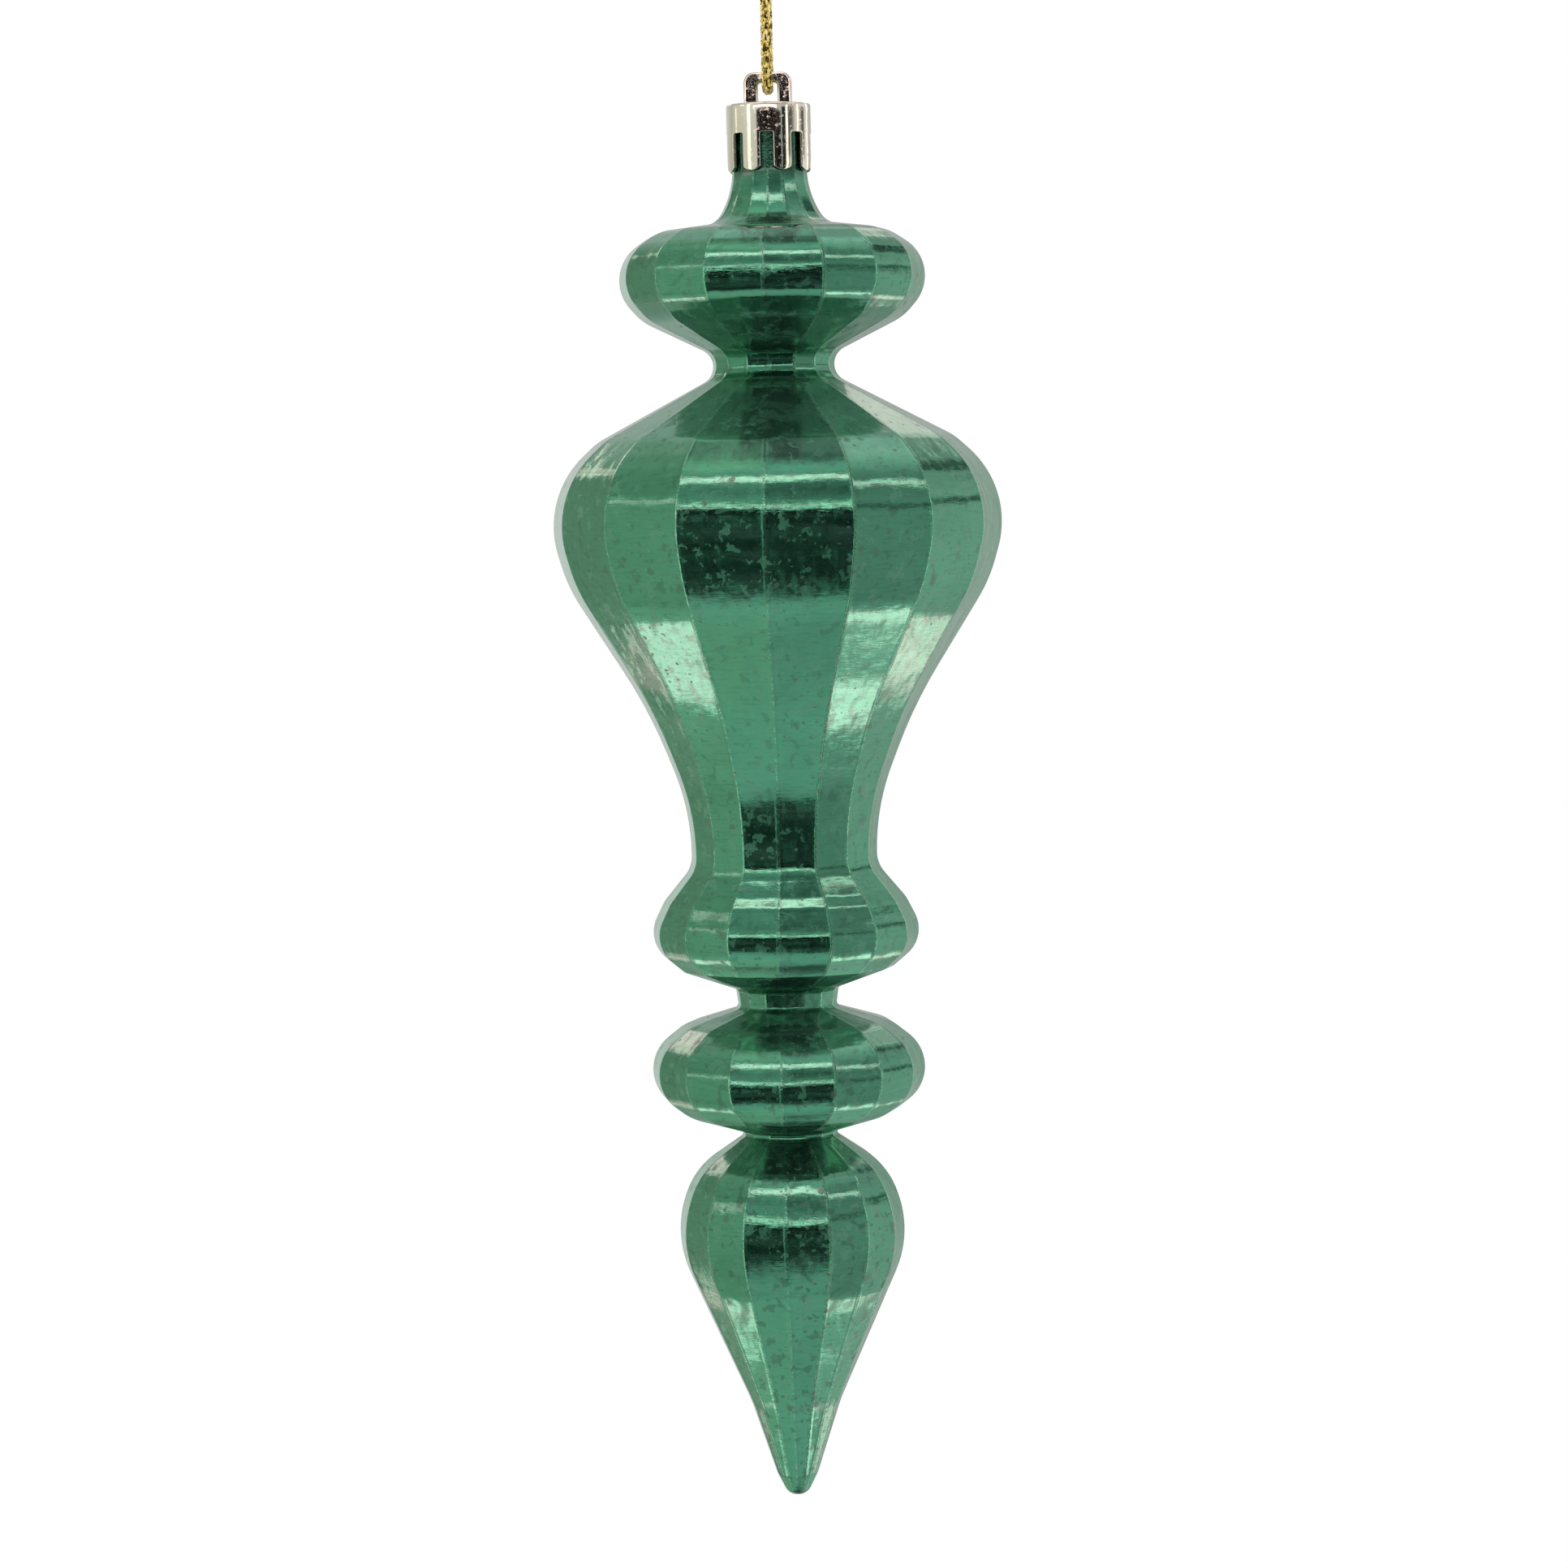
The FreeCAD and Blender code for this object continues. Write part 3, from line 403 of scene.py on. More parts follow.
def finial(material):
    """The moulding's outer skin: sixteen flat facets with slightly rounded edges."""
    points = [(OUTLINE[0][0], RIM_HEIGHT)]
    for across, drop, _ in OUTLINE:
        points.append((across, points[-1][1] - drop))
    points.append((0.0, points[-1][1]))
    roundings = fitted_roundings(points, [row[2] for row in OUTLINE])
    chain = rounded_chain(points, roundings, math.radians(ARC_STEP), RUN_STEP)[:-1]
    half = math.pi / FACETS
    verts, normals, edge, slope = [], [], [], []
    columns = FACETS * 6  # a facet has three points on its flat and three on its edge
    for across, height, heading in chain:
        lean_angle = heading + math.pi / 2 + lean(height)
        out, up = math.cos(lean_angle), math.sin(lean_angle)
        rounding = min(EDGE_ROUNDING, across * 0.5)
        wide = across * math.tan(half)
        flat = (across - rounding) * math.tan(half)
        centre = (across - rounding) / math.cos(half)
        for facet in range(FACETS):
            facing = -math.pi / 2 + half * (2 * facet + 1)
            x, y = math.cos(facing), math.sin(facing)
            for shift in (-flat, 0.0, flat):
                verts.append((x * across + -y * shift, y * across + x * shift, height))
                normals.append((x * out, y * out, up))
                edge.append(wide - abs(shift))
            corner = facing + half
            for part in (-0.5, 0.0, 0.5):
                way = corner + part * half
                verts.append((math.cos(corner) * centre + math.cos(way) * rounding,
                              math.sin(corner) * centre + math.sin(way) * rounding, height))
                normals.append((math.cos(way) * out, math.sin(way) * out, up))
                edge.append(abs(part) * half * rounding)
        slope += [up] * columns
    turn = math.radians(SEAM_EDGE)
    seam = [x * -math.sin(turn) + y * math.cos(turn) for x, y, _ in verts]
    faces = []
    for ring in range(len(chain) - 1):
        for column in range(columns):
            a, b = ring * columns + column, ring * columns + (column + 1) % columns
            faces.append((a, a + columns, b + columns, b))

    # the tip's pole, and the rim with a short inner neck
    last, pole = len(verts) - columns, len(verts)
    verts.append((0.0, 0.0, chain[-1][1]))
    normals.append((0.0, 0.0, -1.0))
    faces += [(last + c, pole, last + (c + 1) % columns) for c in range(columns)]
    inner = len(verts)
    for height in (RIM_HEIGHT, RIM_HEIGHT - INNER_NECK):
        for c in range(columns):
            x, y, _ = verts[c]
            scale = 1 - BODY_WALL / math.hypot(x, y)
            verts.append((x * scale, y * scale, height))
            normals.append((-normals[c][0], -normals[c][1], 0.0))
    foot, bottom = inner + columns, len(verts)
    verts.append((0.0, 0.0, RIM_HEIGHT - INNER_NECK))
    normals.append((0.0, 0.0, 1.0))
    for c in range(columns):
        d = (c + 1) % columns
        faces.append((c, d, inner + d, inner + c))
        faces.append((inner + c, inner + d, foot + d, foot + c))
    faces += [(foot + c, foot + (c + 1) % columns, bottom) for c in range(columns)]

    piece = mesh_object("finial_skin", in_metres(verts), faces, material, normals)
    spare = len(verts) - len(edge)
    add_values(piece, "edge_mm", edge + [FAR_FROM_EDGE] * spare)
    add_values(piece, "seam_mm", seam + [FAR_FROM_EDGE] * spare)
    add_values(piece, "slope", slope + [0.0] * spare)
    return piece


def cup(material):
    """The cap's top and skirt: a coarse cage with its slots left out, thickened and
    smoothed, so that every rim is rolled as in the moulding."""
    # columns: how far round from the first slot's middle, and from its own slot's middle
    steps = [-2.05, -1.55, -1.15, -0.62, -0.30, 0.0, 0.30, 0.62, 1.15, 1.55, 2.05]
    pitch = 2 * math.pi * CAP_RADIUS / SLOTS
    columns = []
    for slot in range(SLOTS):
        columns += [(slot * pitch + s, abs(s)) for s in steps + [pitch / 2]]
    # rows: how far inside the cap's radius, and the height; the slots start at the seventh,
    # and the tines' rounded ends at the eleventh
    rows = [(0.55, CAP_TOP), (0.05, CAP_TOP - 0.06), (0.0, CAP_TOP - 0.45), (0.0, CAP_TOP - 2.2),
            (0.0, SLOT_TOP + 0.9), (0.0, SLOT_TOP + 0.25), (0.0, SLOT_TOP), (0.0, SLOT_TOP - 0.45),
            (0.0, SLOT_TOP - 1.6), (0.0, CAP_FOOT + 2.4), (0.03, CAP_FOOT + 1.2),
            (0.06, CAP_FOOT + 0.45), (0.08, CAP_FOOT)]
    first_slot_row, end_lifts = 6, {10: 0.12, 11: 0.35, 12: 0.75}
    verts, faces, index = [], [], {}
    slot_half = SLOT_WIDTH / 2

    def vertex(row, column):
        key = (row, column % len(columns))
        if key not in index:
            inside, height = rows[row]
            radius = CAP_RADIUS - inside
            place, off = columns[key[1]]
            if row in end_lifts and off > slot_half - 0.01:
                # the tine's end is rounded: its outer columns end higher
                height += end_lifts[row] * max(0.0, 1 - (off - slot_half))
            angle = -math.pi / 2 + place / CAP_RADIUS
            index[key] = len(verts)
            verts.append((radius * math.cos(angle), radius * math.sin(angle), height))
        return index[key]

    for row in range(len(rows) - 1):
        for column in range(len(columns)):
            off = max(columns[column][1], columns[(column + 1) % len(columns)][1])
            if row >= first_slot_row and off <= slot_half + 0.01:
                continue
            faces.append((vertex(row, column), vertex(row + 1, column),
                          vertex(row + 1, column + 1), vertex(row, column + 1)))
    top = len(verts)
    for radius in (CAP_RADIUS - 1.6, CAP_RADIUS - 4.0):
        for place, _ in columns:
            angle = -math.pi / 2 + place / CAP_RADIUS
            verts.append((radius * math.cos(angle), radius * math.sin(angle), CAP_TOP))
    count = len(columns)
    for column in range(count):
        after = (column + 1) % count
        faces.append((vertex(0, column), vertex(0, after), top + after, top + column))
        faces.append((top + column, top + after, top + count + after, top + count + column))
    middle, inmost = len(verts), top + count
    verts.append((0.0, 0.0, CAP_TOP))
    faces += [(inmost + c, inmost + (c + 1) % count, middle) for c in range(count)]
    piece = mesh_object("cap_cup", in_metres(verts), faces, material)
    thick = piece.modifiers.new("wall", "SOLIDIFY")
    thick.thickness, thick.offset = CAP_WALL * MM, -1.0
    smooth = piece.modifiers.new("smooth", "SUBSURF")
    smooth.levels = smooth.render_levels = 2
    return piece


def eye(material):
    """The moulded eye: an arch whose section is a soft rectangle, swept over two posts."""
    foot = CAP_TOP - 0.35

    def arch(half, top, rounding):
        points = [(-half, foot), (-half, top), (half, top), (half, foot)]
        return rounded_chain(points, [rounding] * 2, math.radians(9.0), 0.5)

    def at(chain, share):
        """The point at a share of the way. Each post and the bar take a third of it."""
        lengths = [0.0]
        for a, b in zip(chain, chain[1:]):
            lengths.append(lengths[-1] + math.dist(a[:2], b[:2]))
        post = [i for i, p in enumerate(chain) if abs(p[2] - math.pi / 2) < 0.01][-1]
        drop = [i for i, p in enumerate(chain) if abs(p[2] + math.pi / 2) < 0.01][0]
        stops = [0.0, lengths[post], lengths[drop], lengths[-1]]
        part = min(2, int(share * 3))
        want = stops[part] + (stops[part + 1] - stops[part]) * (share * 3 - part)
        for i in range(len(chain) - 1):
            if want <= lengths[i + 1] + 1e-9:
                f = (want - lengths[i]) / max(1e-9, lengths[i + 1] - lengths[i])
                return [chain[i][j] + (chain[i + 1][j] - chain[i][j]) * f for j in (0, 1)]
        return list(chain[-1][:2])

    outer = arch(EYE_WIDTH / 2, EYE_BAR, EYE_CORNER)
    inner = arch(EYE_OPENING / 2, 0.0, EYE_OPENING_CORNER)
    # the section's corners: which way they lie, their rounding, and where it starts
    corners = [(1, 1, 0.4, 0.0), (1, -1, 0.4, 0.5), (-1, -1, 0.45, 1.0), (-1, 1, 0.45, 1.5)]
    corner_steps = 5
    ring = len(corners) * corner_steps
    verts, faces, normals = [], [], []
    for station in range(EYE_STATIONS + 1):
        a, b = (at(chain, station / EYE_STATIONS) for chain in (outer, inner))
        thick = math.dist(a, b)
        way = ((a[0] - b[0]) / thick, (a[1] - b[1]) / thick)
        middle = ((a[0] + b[0]) / 2, (a[1] + b[1]) / 2)
        for up, front, radius, start in corners:
            tall = min(radius, thick * 0.42)
            for step in range(corner_steps):
                angle = start * math.pi + step / 4 * math.pi / 2
                across, along = math.cos(angle), math.sin(angle)
                depth = front * (EYE_DEPTH / 2 - radius) + radius * across
                height = up * (thick / 2 - tall) + tall * along
                verts.append((middle[0] + way[0] * height, depth, middle[1] + way[1] * height))
                normals.append((way[0] * along, across, way[1] * along))
    for station in range(EYE_STATIONS):
        for i in range(ring):
            j, s = (i + 1) % ring, station * ring
            faces.append((s + i, s + j, s + ring + j, s + ring + i))
    faces.append(tuple(range(ring - 1, -1, -1)))
    faces.append(tuple(EYE_STATIONS * ring + i for i in range(ring)))
    return mesh_object("cap_eye", in_metres(verts), faces, material, normals)


def curve_line(name, points):
    """The cord's line: a NURBS spline with the route's points as its control points."""
    data = bpy.data.curves.new(name, "CURVE")
    data.dimensions = "3D"
    spline = data.splines.new("NURBS")
    spline.points.add(len(points) - 1)
    for control, point in zip(spline.points, points):
        control.co = (*[c * MM for c in point], 1.0)
    spline.order_u = 3
    spline.use_endpoint_u = True
    data.resolution_u = 24
    return data


def path_of(data):
    """The points that the line follows."""
    holder = bpy.data.objects.new("line", data)
    link(holder)
    mesh = bpy.data.meshes.new_from_object(holder)
    points = [vertex.co.copy() for vertex in mesh.vertices]
    bpy.data.objects.remove(holder)
    bpy.data.meshes.remove(mesh)
    return points


CORD_ROUTE = [
    (0, -0.87, 60.0), (0, -2.36, 10.2), (0, -2.55, 1.0), (0, -2.05, -1.0), (0, 0.0, -1.25),
    (0, 2.05, -1.0), (0, 2.55, 1.0), (0, 2.36, 10.2), (0, 0.87, 60.0),
]


class Line:
    """A line of points with a direction and two steady side directions at any distance."""
    def __init__(self, points, front):
        self.points = points
        self.far = [0.0]
        for a, b in zip(points, points[1:]):
            self.far.append(self.far[-1] + (b - a).length)
        self.length = self.far[-1]
        self.axes, self.fronts = [], []
        for i in range(len(points)):
            axis = (points[min(i + 1, len(points) - 1)] - points[max(i - 1, 0)]).normalized()
            front = (front - axis * front.dot(axis)).normalized()
            self.axes.append(axis)
            self.fronts.append(front)

    def at(self, want, angle=0.0, out=0.0):
        """The point beside the line at a distance along it."""
        want = min(self.length * 0.999999, max(0.0, want))
        low, high = 0, len(self.far) - 1
        while high - low > 1:
            middle = (low + high) // 2
            if self.far[middle] <= want:
                low = middle
            else:
                high = middle
        f = (want - self.far[low]) / max(1e-12, self.far[high] - self.far[low])
        front = self.fronts[low].lerp(self.fronts[high], f)
        beside = self.axes[low].lerp(self.axes[high], f).cross(front)
        place = self.points[low].lerp(self.points[high], f)
        return place + (front * math.cos(angle) + beside * math.sin(angle)) * out


def tube(verts, faces, centres, radius, sides=7):
    """Add a round thread along its centres to a mesh's lists."""
    start = len(verts)
    for i, centre in enumerate(centres):
        before, after = centres[max(0, i - 1)], centres[min(len(centres) - 1, i + 1)]
        axis = (after - before).normalized()
        first = axis.cross(NO_THREAD_WAY).normalized()
        second = axis.cross(first)
        for side in range(sides):
            angle = 2 * math.pi * side / sides
            verts.append(centre + (first * math.cos(angle) + second * math.sin(angle)) * radius)
    for i in range(len(centres) - 1):
        for side in range(sides):
            a, b = start + i * sides + side, start + i * sides + (side + 1) % sides
            faces.append((a, b, b + sides, a + sides))
    last = start + (len(centres) - 1) * sides
    faces.append(tuple(start + side for side in range(sides - 1, -1, -1)))
    faces.append(tuple(last + side for side in range(sides)))


def knit(name, lines, material, wide, pitch, thread):
    """A knitted chain along each line: rows of V-shaped stitches round a core."""
    verts, faces, tones = [], [], []
    for line in lines:
        for stitch in range(int(line.length / pitch)):
            for row in range(KNIT_ROWS):
                face = row * 2 * math.pi / KNIT_ROWS
                base = (stitch + (row % 2) * 0.5) * pitch
                for side in (-1, 1):
                    centres = []
                    for step in range(STITCH_STEPS + 1):
                        f = step / STITCH_STEPS
                        off = STITCH_OFF + STITCH_LEAN * math.sin(f * math.pi / 2)
                        angle = face + side * off * math.pi / KNIT_ROWS
                        out = STITCH_OUT + STITCH_BULGE * math.sin(math.pi * f)
                        out = wide * out - thread * 0.5
                        place = base + (f * STITCH_REACH + STITCH_START) * pitch
                        centres.append(line.at(place, angle, out))
                    tube(verts, faces, centres, thread / 2)
                    tone = ((stitch * 7 + row * 3 + side) * TONE_SCATTER) % 1.0
                    tones += [tone * 2 - 1] * (len(verts) - len(tones))
        steps = int(line.length / (pitch * 0.3))
        middles = [line.at(line.length * i / steps) for i in range(steps + 1)]
        tube(verts, faces, middles, wide * CORE_RADIUS)
        tones += [CORE_SHADE_TONE] * (len(verts) - len(tones))
    piece = mesh_object(name, verts, faces, material)
    add_values(piece, "tone", tones)
    return piece


def knot_lines():
    """The two ends of the cord in their knot: each winds once round and leaves as a tail."""
    lines = []
    for side in (-1, 1):
        points = [(0.0, side * 0.87, 59.6), (0.0, side * 0.95, 60.4)]
        for step in range(KNOT_STEPS + 1):
            f = step / KNOT_STEPS
            angle = side * math.pi / 2 + f * math.radians(KNOT_TURN)
            radius = 1.15
            if f < 0.8:
                radius = 1.0 + 0.85 * math.sin(math.pi * min(1.0, f * 1.25 + 0.1) ** 0.8) ** 0.5
            height = KNOT_FOOT + KNOT_TALL * f
            points.append((radius * math.cos(angle), radius * math.sin(angle), height))
        for step in range(1, TAIL_STEPS + 1):
            f = step / TAIL_STEPS
            x, y = 0.35 * (1 - f) * side, side * (0.9 + 1.5 * f)
            points.append((x, y, TAIL_FOOT + TAIL_TALL * f))
        lines.append(Line(path_of(curve_line("knot_line", points)), Vector((0.0, side, 0.1))))
    return lines


def camera():
    """Near the ornament, level with its bulb, and looking slightly down and rolled."""
    azimuth, roll = math.radians(3.1), math.radians(-1.245)
    distance, height, aim_height, shift = 0.80, -0.072, -0.1223, 0.0002
    frame_width, sensor_width = 0.2755, 36.0  # metres seen at the aim, and millimetres
    data = bpy.data.cameras.new("camera")
    right = Vector((math.cos(azimuth), math.sin(azimuth), 0.0))
    back = Vector((math.sin(azimuth), -math.cos(azimuth), 0.0))
    target = right * shift + Vector((0, 0, aim_height))
    obj = link(bpy.data.objects.new("camera", data))
    obj.location = right * shift + Vector((0, 0, height)) + back * distance
    view = target - obj.location
    data.sensor_width, data.lens = sensor_width, sensor_width * view.length / frame_width
    data.clip_start, data.clip_end = 0.01, 50.0
    obj.rotation_mode = "QUATERNION"
    obj.rotation_quaternion = view.to_track_quat("-Z", "Y") @ Quaternion((0, 0, 1), roll)
    bpy.context.scene.camera = obj


def glow(name, tone, strength, uneven=0.0, patches=(6.0, 6.0), rim=0.0):
    """A lit surface, plain or patchy, that may fade out over a rim (a share of its size)."""
    n = Nodes(name)
    place = n.add("ShaderNodeTexCoord").outputs["Generated"]
    if uneven:
        spots = n.noise(n.stretched(place, *patches, 1.0), 1.0, 3.0, 0.6).outputs["Fac"]
        strength = n.ramp(spots, 0.38, 0.62, strength * (1 - uneven), strength * (1 + uneven))
    shader = n.add("ShaderNodeEmission", Color=colour(*tone), Strength=strength)
    if rim:
        parts = n.add("ShaderNodeSeparateXYZ", i0=place).outputs
        fade = None
        for axis in (0, 1):
            off = n.ramp(n.distance(parts[axis], 0.5), 0.5 - rim, 0.5, 1.0, 0.0)
            fade = off if fade is None else n.math("MULTIPLY", fade, off)
        clear = n.add("ShaderNodeBsdfTransparent")
        shader = n.add("ShaderNodeMixShader", i0=fade, i1=clear, i2=shader)
    return n.finish(shader)


def dim_room():
    """The unlit side of the studio, behind the camera, with a few paler things in it."""
    n = Nodes("dim_room")
    place = n.add("ShaderNodeTexCoord").outputs["Generated"]
    blocks = n.stretched(place, 52.0, 16.0, 1.0)
    cells = n.add("ShaderNodeTexVoronoi", {"distance": "CHEBYCHEV"}, Vector=blocks, Scale=1.0)
    pick = n.add("ShaderNodeSeparateColor", i0=cells.outputs["Color"]).outputs[0]
    squares = n.ramp(cells.outputs["Distance"], 0.28, 0.38, 1.0, 0.0)
    things = n.math("MULTIPLY", n.ramp(pick, 0.60, 0.66), squares)
    bars = n.noise(n.stretched(place, 90.0, 2.2, 1.0), 1.0, 1.0).outputs["Fac"]
    bars = n.ramp(bars, 0.59, 0.64)
    haze = n.ramp(n.noise(blocks, 0.5, 2.0).outputs["Fac"], 0.50, 0.70, 0.006, 0.04)
    parts = n.add("ShaderNodeSeparateXYZ", i0=place).outputs
    paler = n.ramp(parts[1], 0.80, 0.90, 0.42, 0.0)
    paler = n.math("MULTIPLY", n.math("MAXIMUM", things, bars), paler)
    shader = n.add("ShaderNodeEmission", Strength=n.math("ADD", haze, paler))
    # its left side and its foot fade into the lit room
    fade = n.math("MULTIPLY", n.ramp(parts[0], 0.0, 0.07), n.ramp(parts[1], 0.0, 0.09))
    clear = n.add("ShaderNodeBsdfTransparent")
    return n.finish(n.add("ShaderNodeMixShader", i0=fade, i1=clear, i2=shader))


MIDDLE = Vector((0, 0, -0.12))  # the ornament's, in metres
CARD_DISTANCE = 1.1
WALL_DISTANCE = 3.0


def card(name, azimuth, elevation, wide, tall, material):
    """A flat studio card that faces the ornament from a direction, unseen by the camera.
    Azimuth 0 is in front of the ornament and 90 to its right, and the card's width and
    height are the angles it fills there, in degrees."""
    a, e = math.radians(azimuth), math.radians(elevation)
    out = Vector((math.sin(a) * math.cos(e), -math.cos(a) * math.cos(e), math.sin(e)))
    mesh = bpy.data.meshes.new(name)
    w, h = (CARD_DISTANCE * math.tan(math.radians(angle / 2)) for angle in (wide, tall))
    mesh.from_pydata([(-w, -h, 0), (w, -h, 0), (w, h, 0), (-w, h, 0)], [], [(0, 1, 2, 3)])
    mesh.materials.append(material)
    obj = link(bpy.data.objects.new(name, mesh))
    obj.rotation_mode = "QUATERNION"
    obj.rotation_quaternion = out.to_track_quat("Z", "Y")
    obj.location = MIDDLE + out * CARD_DISTANCE
    obj.visible_camera = False


def surround():
    """The studio's walls, floor and ceiling as one plain shell, unseen by the camera."""
    n = Nodes("studio_walls")
    place = n.add("ShaderNodeTexCoord").outputs["Object"]
    way = n.add("ShaderNodeVectorMath", {"operation": "NORMALIZE"}, i0=place)
    right, back, up = n.add("ShaderNodeSeparateXYZ", i0=way).outputs
    azimuth = n.math("ARCTAN2", right, n.math("MULTIPLY", back, -1.0))
    azimuth = n.math("MULTIPLY_ADD", azimuth, 0.5 / math.pi, 0.5)
    height = n.math("MULTIPLY_ADD", up, 0.5, 0.5)

    def bands(value, stops):
        node = n.add("ShaderNodeValToRGB", Fac=value)
        ramp = node.color_ramp
        while len(ramp.elements) < len(stops):
            ramp.elements.new(0.5)
        for element, (where, tone) in zip(ramp.elements, stops):
            element.position = where
            element.color = colour(*tone)
        return node.outputs[0]

    # the walls' brightness and tone by azimuth, and how much of it is left by elevation
    white, cream_wall, rosy_wall = (1.0, 1.0, 1.0), (1.0, 0.965, 0.87), (1.14, 0.99, 1.02)
    walls = [(-180, 0.48, white), (-160, 0.76, white), (-145, 0.70, white),
             (-133, 0.68, cream_wall), (-120, 0.56, cream_wall), (-100, 0.78, cream_wall),
             (-45, 0.80, cream_wall), (-30, 0.72, white), (25, 0.70, white), (45, 0.60, white),
             (72, 0.60, rosy_wall), (85, 0.84, rosy_wall), (122, 0.90, rosy_wall),
             (145, 0.60, white), (180, 0.50, white)]
    levels = [(-90, 0.30), (-76, 0.33), (-67, 1.12), (-50, 1.28), (-40, 1.22), (-30, 0.90),
              (-15, 1.0), (12, 1.0), (25, 0.80), (45, 0.85), (54, 1.1), (62, 1.50), (70, 1.36),
              (80, 0.42), (90, 0.40)]
    around = bands(azimuth, [(a / 360 + 0.5, [level * t for t in tone])
                             for a, level, tone in walls])
    upright = bands(height, [(math.sin(math.radians(e)) * 0.5 + 0.5, (level,) * 3)
                             for e, level in levels])
    both = n.add("ShaderNodeMix", {"data_type": "RGBA", "blend_type": "MULTIPLY"},
                 i0=1.0, i6=around, i7=upright)
    shader = n.add("ShaderNodeEmission", Color=both.outputs[2])
    mesh = bpy.data.meshes.new("studio_shell")
    build = bmesh.new()
    bmesh.ops.create_uvsphere(build, u_segments=48, v_segments=24, radius=WALL_DISTANCE)
    build.to_mesh(mesh)
    build.free()
    mesh.materials.append(n.finish(shader))
    obj = link(bpy.data.objects.new("studio_shell", mesh))
    obj.location = MIDDLE
    obj.visible_camera = False
    obj.visible_shadow = False


ROSE = (1.0, 0.68, 0.70)
BLUSH = (1.0, 0.56, 0.62)
WARM_WHITE = (1.0, 0.78, 0.80)
CREAM = (1.0, 0.92, 0.78)
PLAIN = (1.0, 1.0, 1.0)
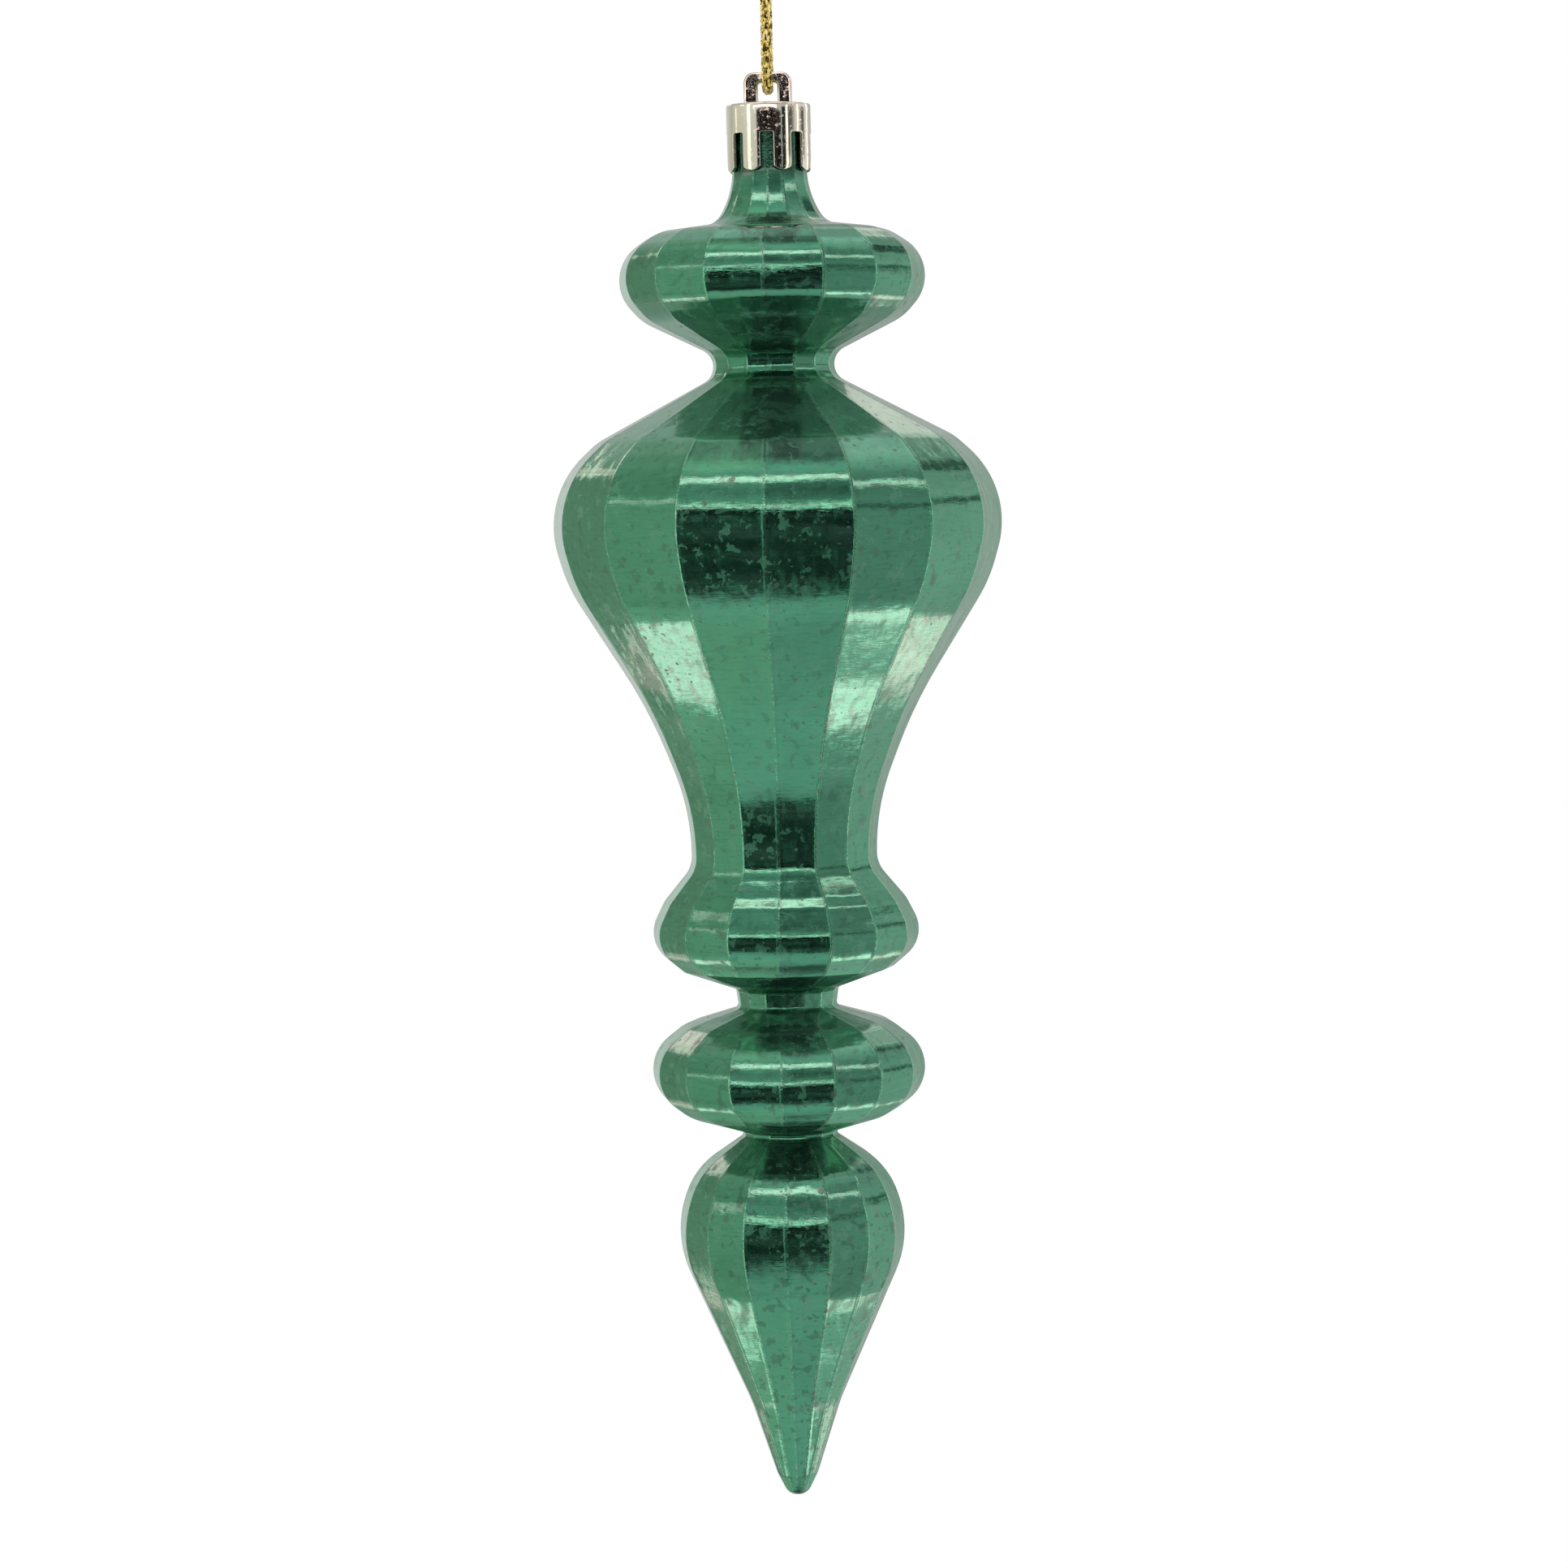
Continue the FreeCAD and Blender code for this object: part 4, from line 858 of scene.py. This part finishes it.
# name, azimuth, elevation, width and height in degrees, and then what glow() is told
CARDS = [
    ("dark_front_right", 44.5, -10, 9, 44, PLAIN, 0.03),
    ("strip_low", -6, 14.7, 66, 4.0, ROSE, 4.0, 0.5, (60.0, 2.0), 0.02),
    ("strip_left", -73, 17, 14, 3.0, BLUSH, 3.0, 0.4, (14.0, 2.0)),
    ("front_up_right", 21, 30, 26, 20, PLAIN, 0.36, 0.4, (5.0, 4.0)),
    ("front_up_left", -28, 30, 26, 20, PLAIN, 0.62, 0.25, (5.0, 4.0)),
    ("strip_top_left", -34, 45, 32, 8.0, BLUSH, 4.6, 0.45, (44.0, 3.0)),
    ("strip_top_right", 24, 48, 34, 8.5, BLUSH, 4.6, 0.45, (44.0, 3.0)),
    ("softbox_left", -93.5, -44.6, 13, 6.6, BLUSH, 4.6, 0.2, (12.0, 6.0), 0.14),
    ("softbox_right", 82, -45, 10.5, 11.5, BLUSH, 5.4, 0.3, (10.0, 8.0), 0.26),
    ("right_up", 72, 31, 24, 5, BLUSH, 3.8, 0.35, (16.0, 3.0)),
    ("softbox_back_right", 131, -31.5, 13, 8, BLUSH, 4.2, 0.35, (5.0, 12.0), 0.28),
    ("softbox_low_right", 121, -36, 6, 4, BLUSH, 3.6, 0.2, (4.0, 4.0), 0.2),
    ("softbox_low_left", -128, -28, 12, 10, BLUSH, 2.2, 0.6, (3.0, 24.0), 0.2),
    ("slats_back_left", -141, 26.5, 22, 6, BLUSH, 2.8, 0.5, (2.0, 22.0)),
    ("strip_back_right", 155, 33, 30, 8, WARM_WHITE, 1.4, 0.4, (14.0, 3.0)),
    ("back_up_right", 165, 44, 12, 14, WARM_WHITE, 1.15, 0.3, (6.0, 6.0), 0.2),
    ("dark_back_right", 125, 36, 12, 12, PLAIN, 0.18, 0.6, (2.0, 9.0)),
    ("dark_back_left", -130.5, -24.3, 5, 1.6, PLAIN, 0.4),
    ("dark_right", 64.5, 10.4, 30, 5.6, PLAIN, 0.13, 0.0, (6.0, 6.0), 0.42),
    ("dark_far_right", 109.5, 10.4, 30, 5.6, PLAIN, 0.13, 0.0, (6.0, 6.0), 0.42),
    # upright lamps, whose reflections run down the rounded edges between facets
    ("lamp_left", -52, -5, 8, 60, CREAM, 2.2, 0.4, (3.0, 50.0)),
    ("lamp_far_left", -96, -8, 5, 40, CREAM, 1.6, 0.5, (2.0, 40.0)),
    ("lamp_front_right", 53, -14, 6, 56, CREAM, 2.2, 0.5, (2.0, 60.0)),
    ("lamp_right", 90, -6, 6, 52, CREAM, 2.2, 0.5, (2.0, 60.0)),
    ("lamp_back_right", 133, 7, 7, 34, CREAM, 2.2, 0.5, (2.0, 60.0)),
]

mirror = mirror_plastic()
silver = cap_metal()
gold = cord_yarn()

body = finial(mirror)
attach(body, "root")
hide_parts("finial_body")

cap_cup = cup(silver)
cap_eye = eye(silver)
for piece in (cap_cup, cap_eye):
    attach(piece, "root")
    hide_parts("hanger_cap")

cord_points = path_of(curve_line("cord_line", CORD_ROUTE))
cord_line = Line(cord_points, Vector((0.0, -1.0, 0.0)))
cord_piece = knit("hanging_cord_knit", [cord_line], gold, 1.85 * MM, 1.9 * MM, 0.50 * MM)
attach(cord_piece, "root")
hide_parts("hanging_cord")
knot_piece = knit("cord_knot_knit", knot_lines(), gold, 1.62 * MM, 1.9 * MM, 0.46 * MM)
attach(knot_piece, "root")
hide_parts("cord_knot")

camera()
surround()
card("camera_side", 3, -12.5, 74, 48, dim_room())
for name, azimuth, elevation, wide, tall, *light in CARDS:
    card(name, azimuth, elevation, wide, tall, glow(name, *light))

world = bpy.data.worlds.new("studio")
bpy.context.scene.world = world
w = Nodes("studio", world)
rays = w.add("ShaderNodeLightPath").outputs
seen = w.math("MAXIMUM", rays["Is Camera Ray"], rays["Is Glossy Ray"])
seen = w.math("MAXIMUM", seen, rays["Is Transmission Ray"])
sky = w.add("ShaderNodeBackground", Color=colour(1.0, 1.0, 1.0),
            Strength=w.ramp(seen, 0.0, 1.0, 0.5, 1.0))
w.add("ShaderNodeOutputWorld", Surface=sky)

bpy.context.scene.view_settings.view_transform = "Standard"
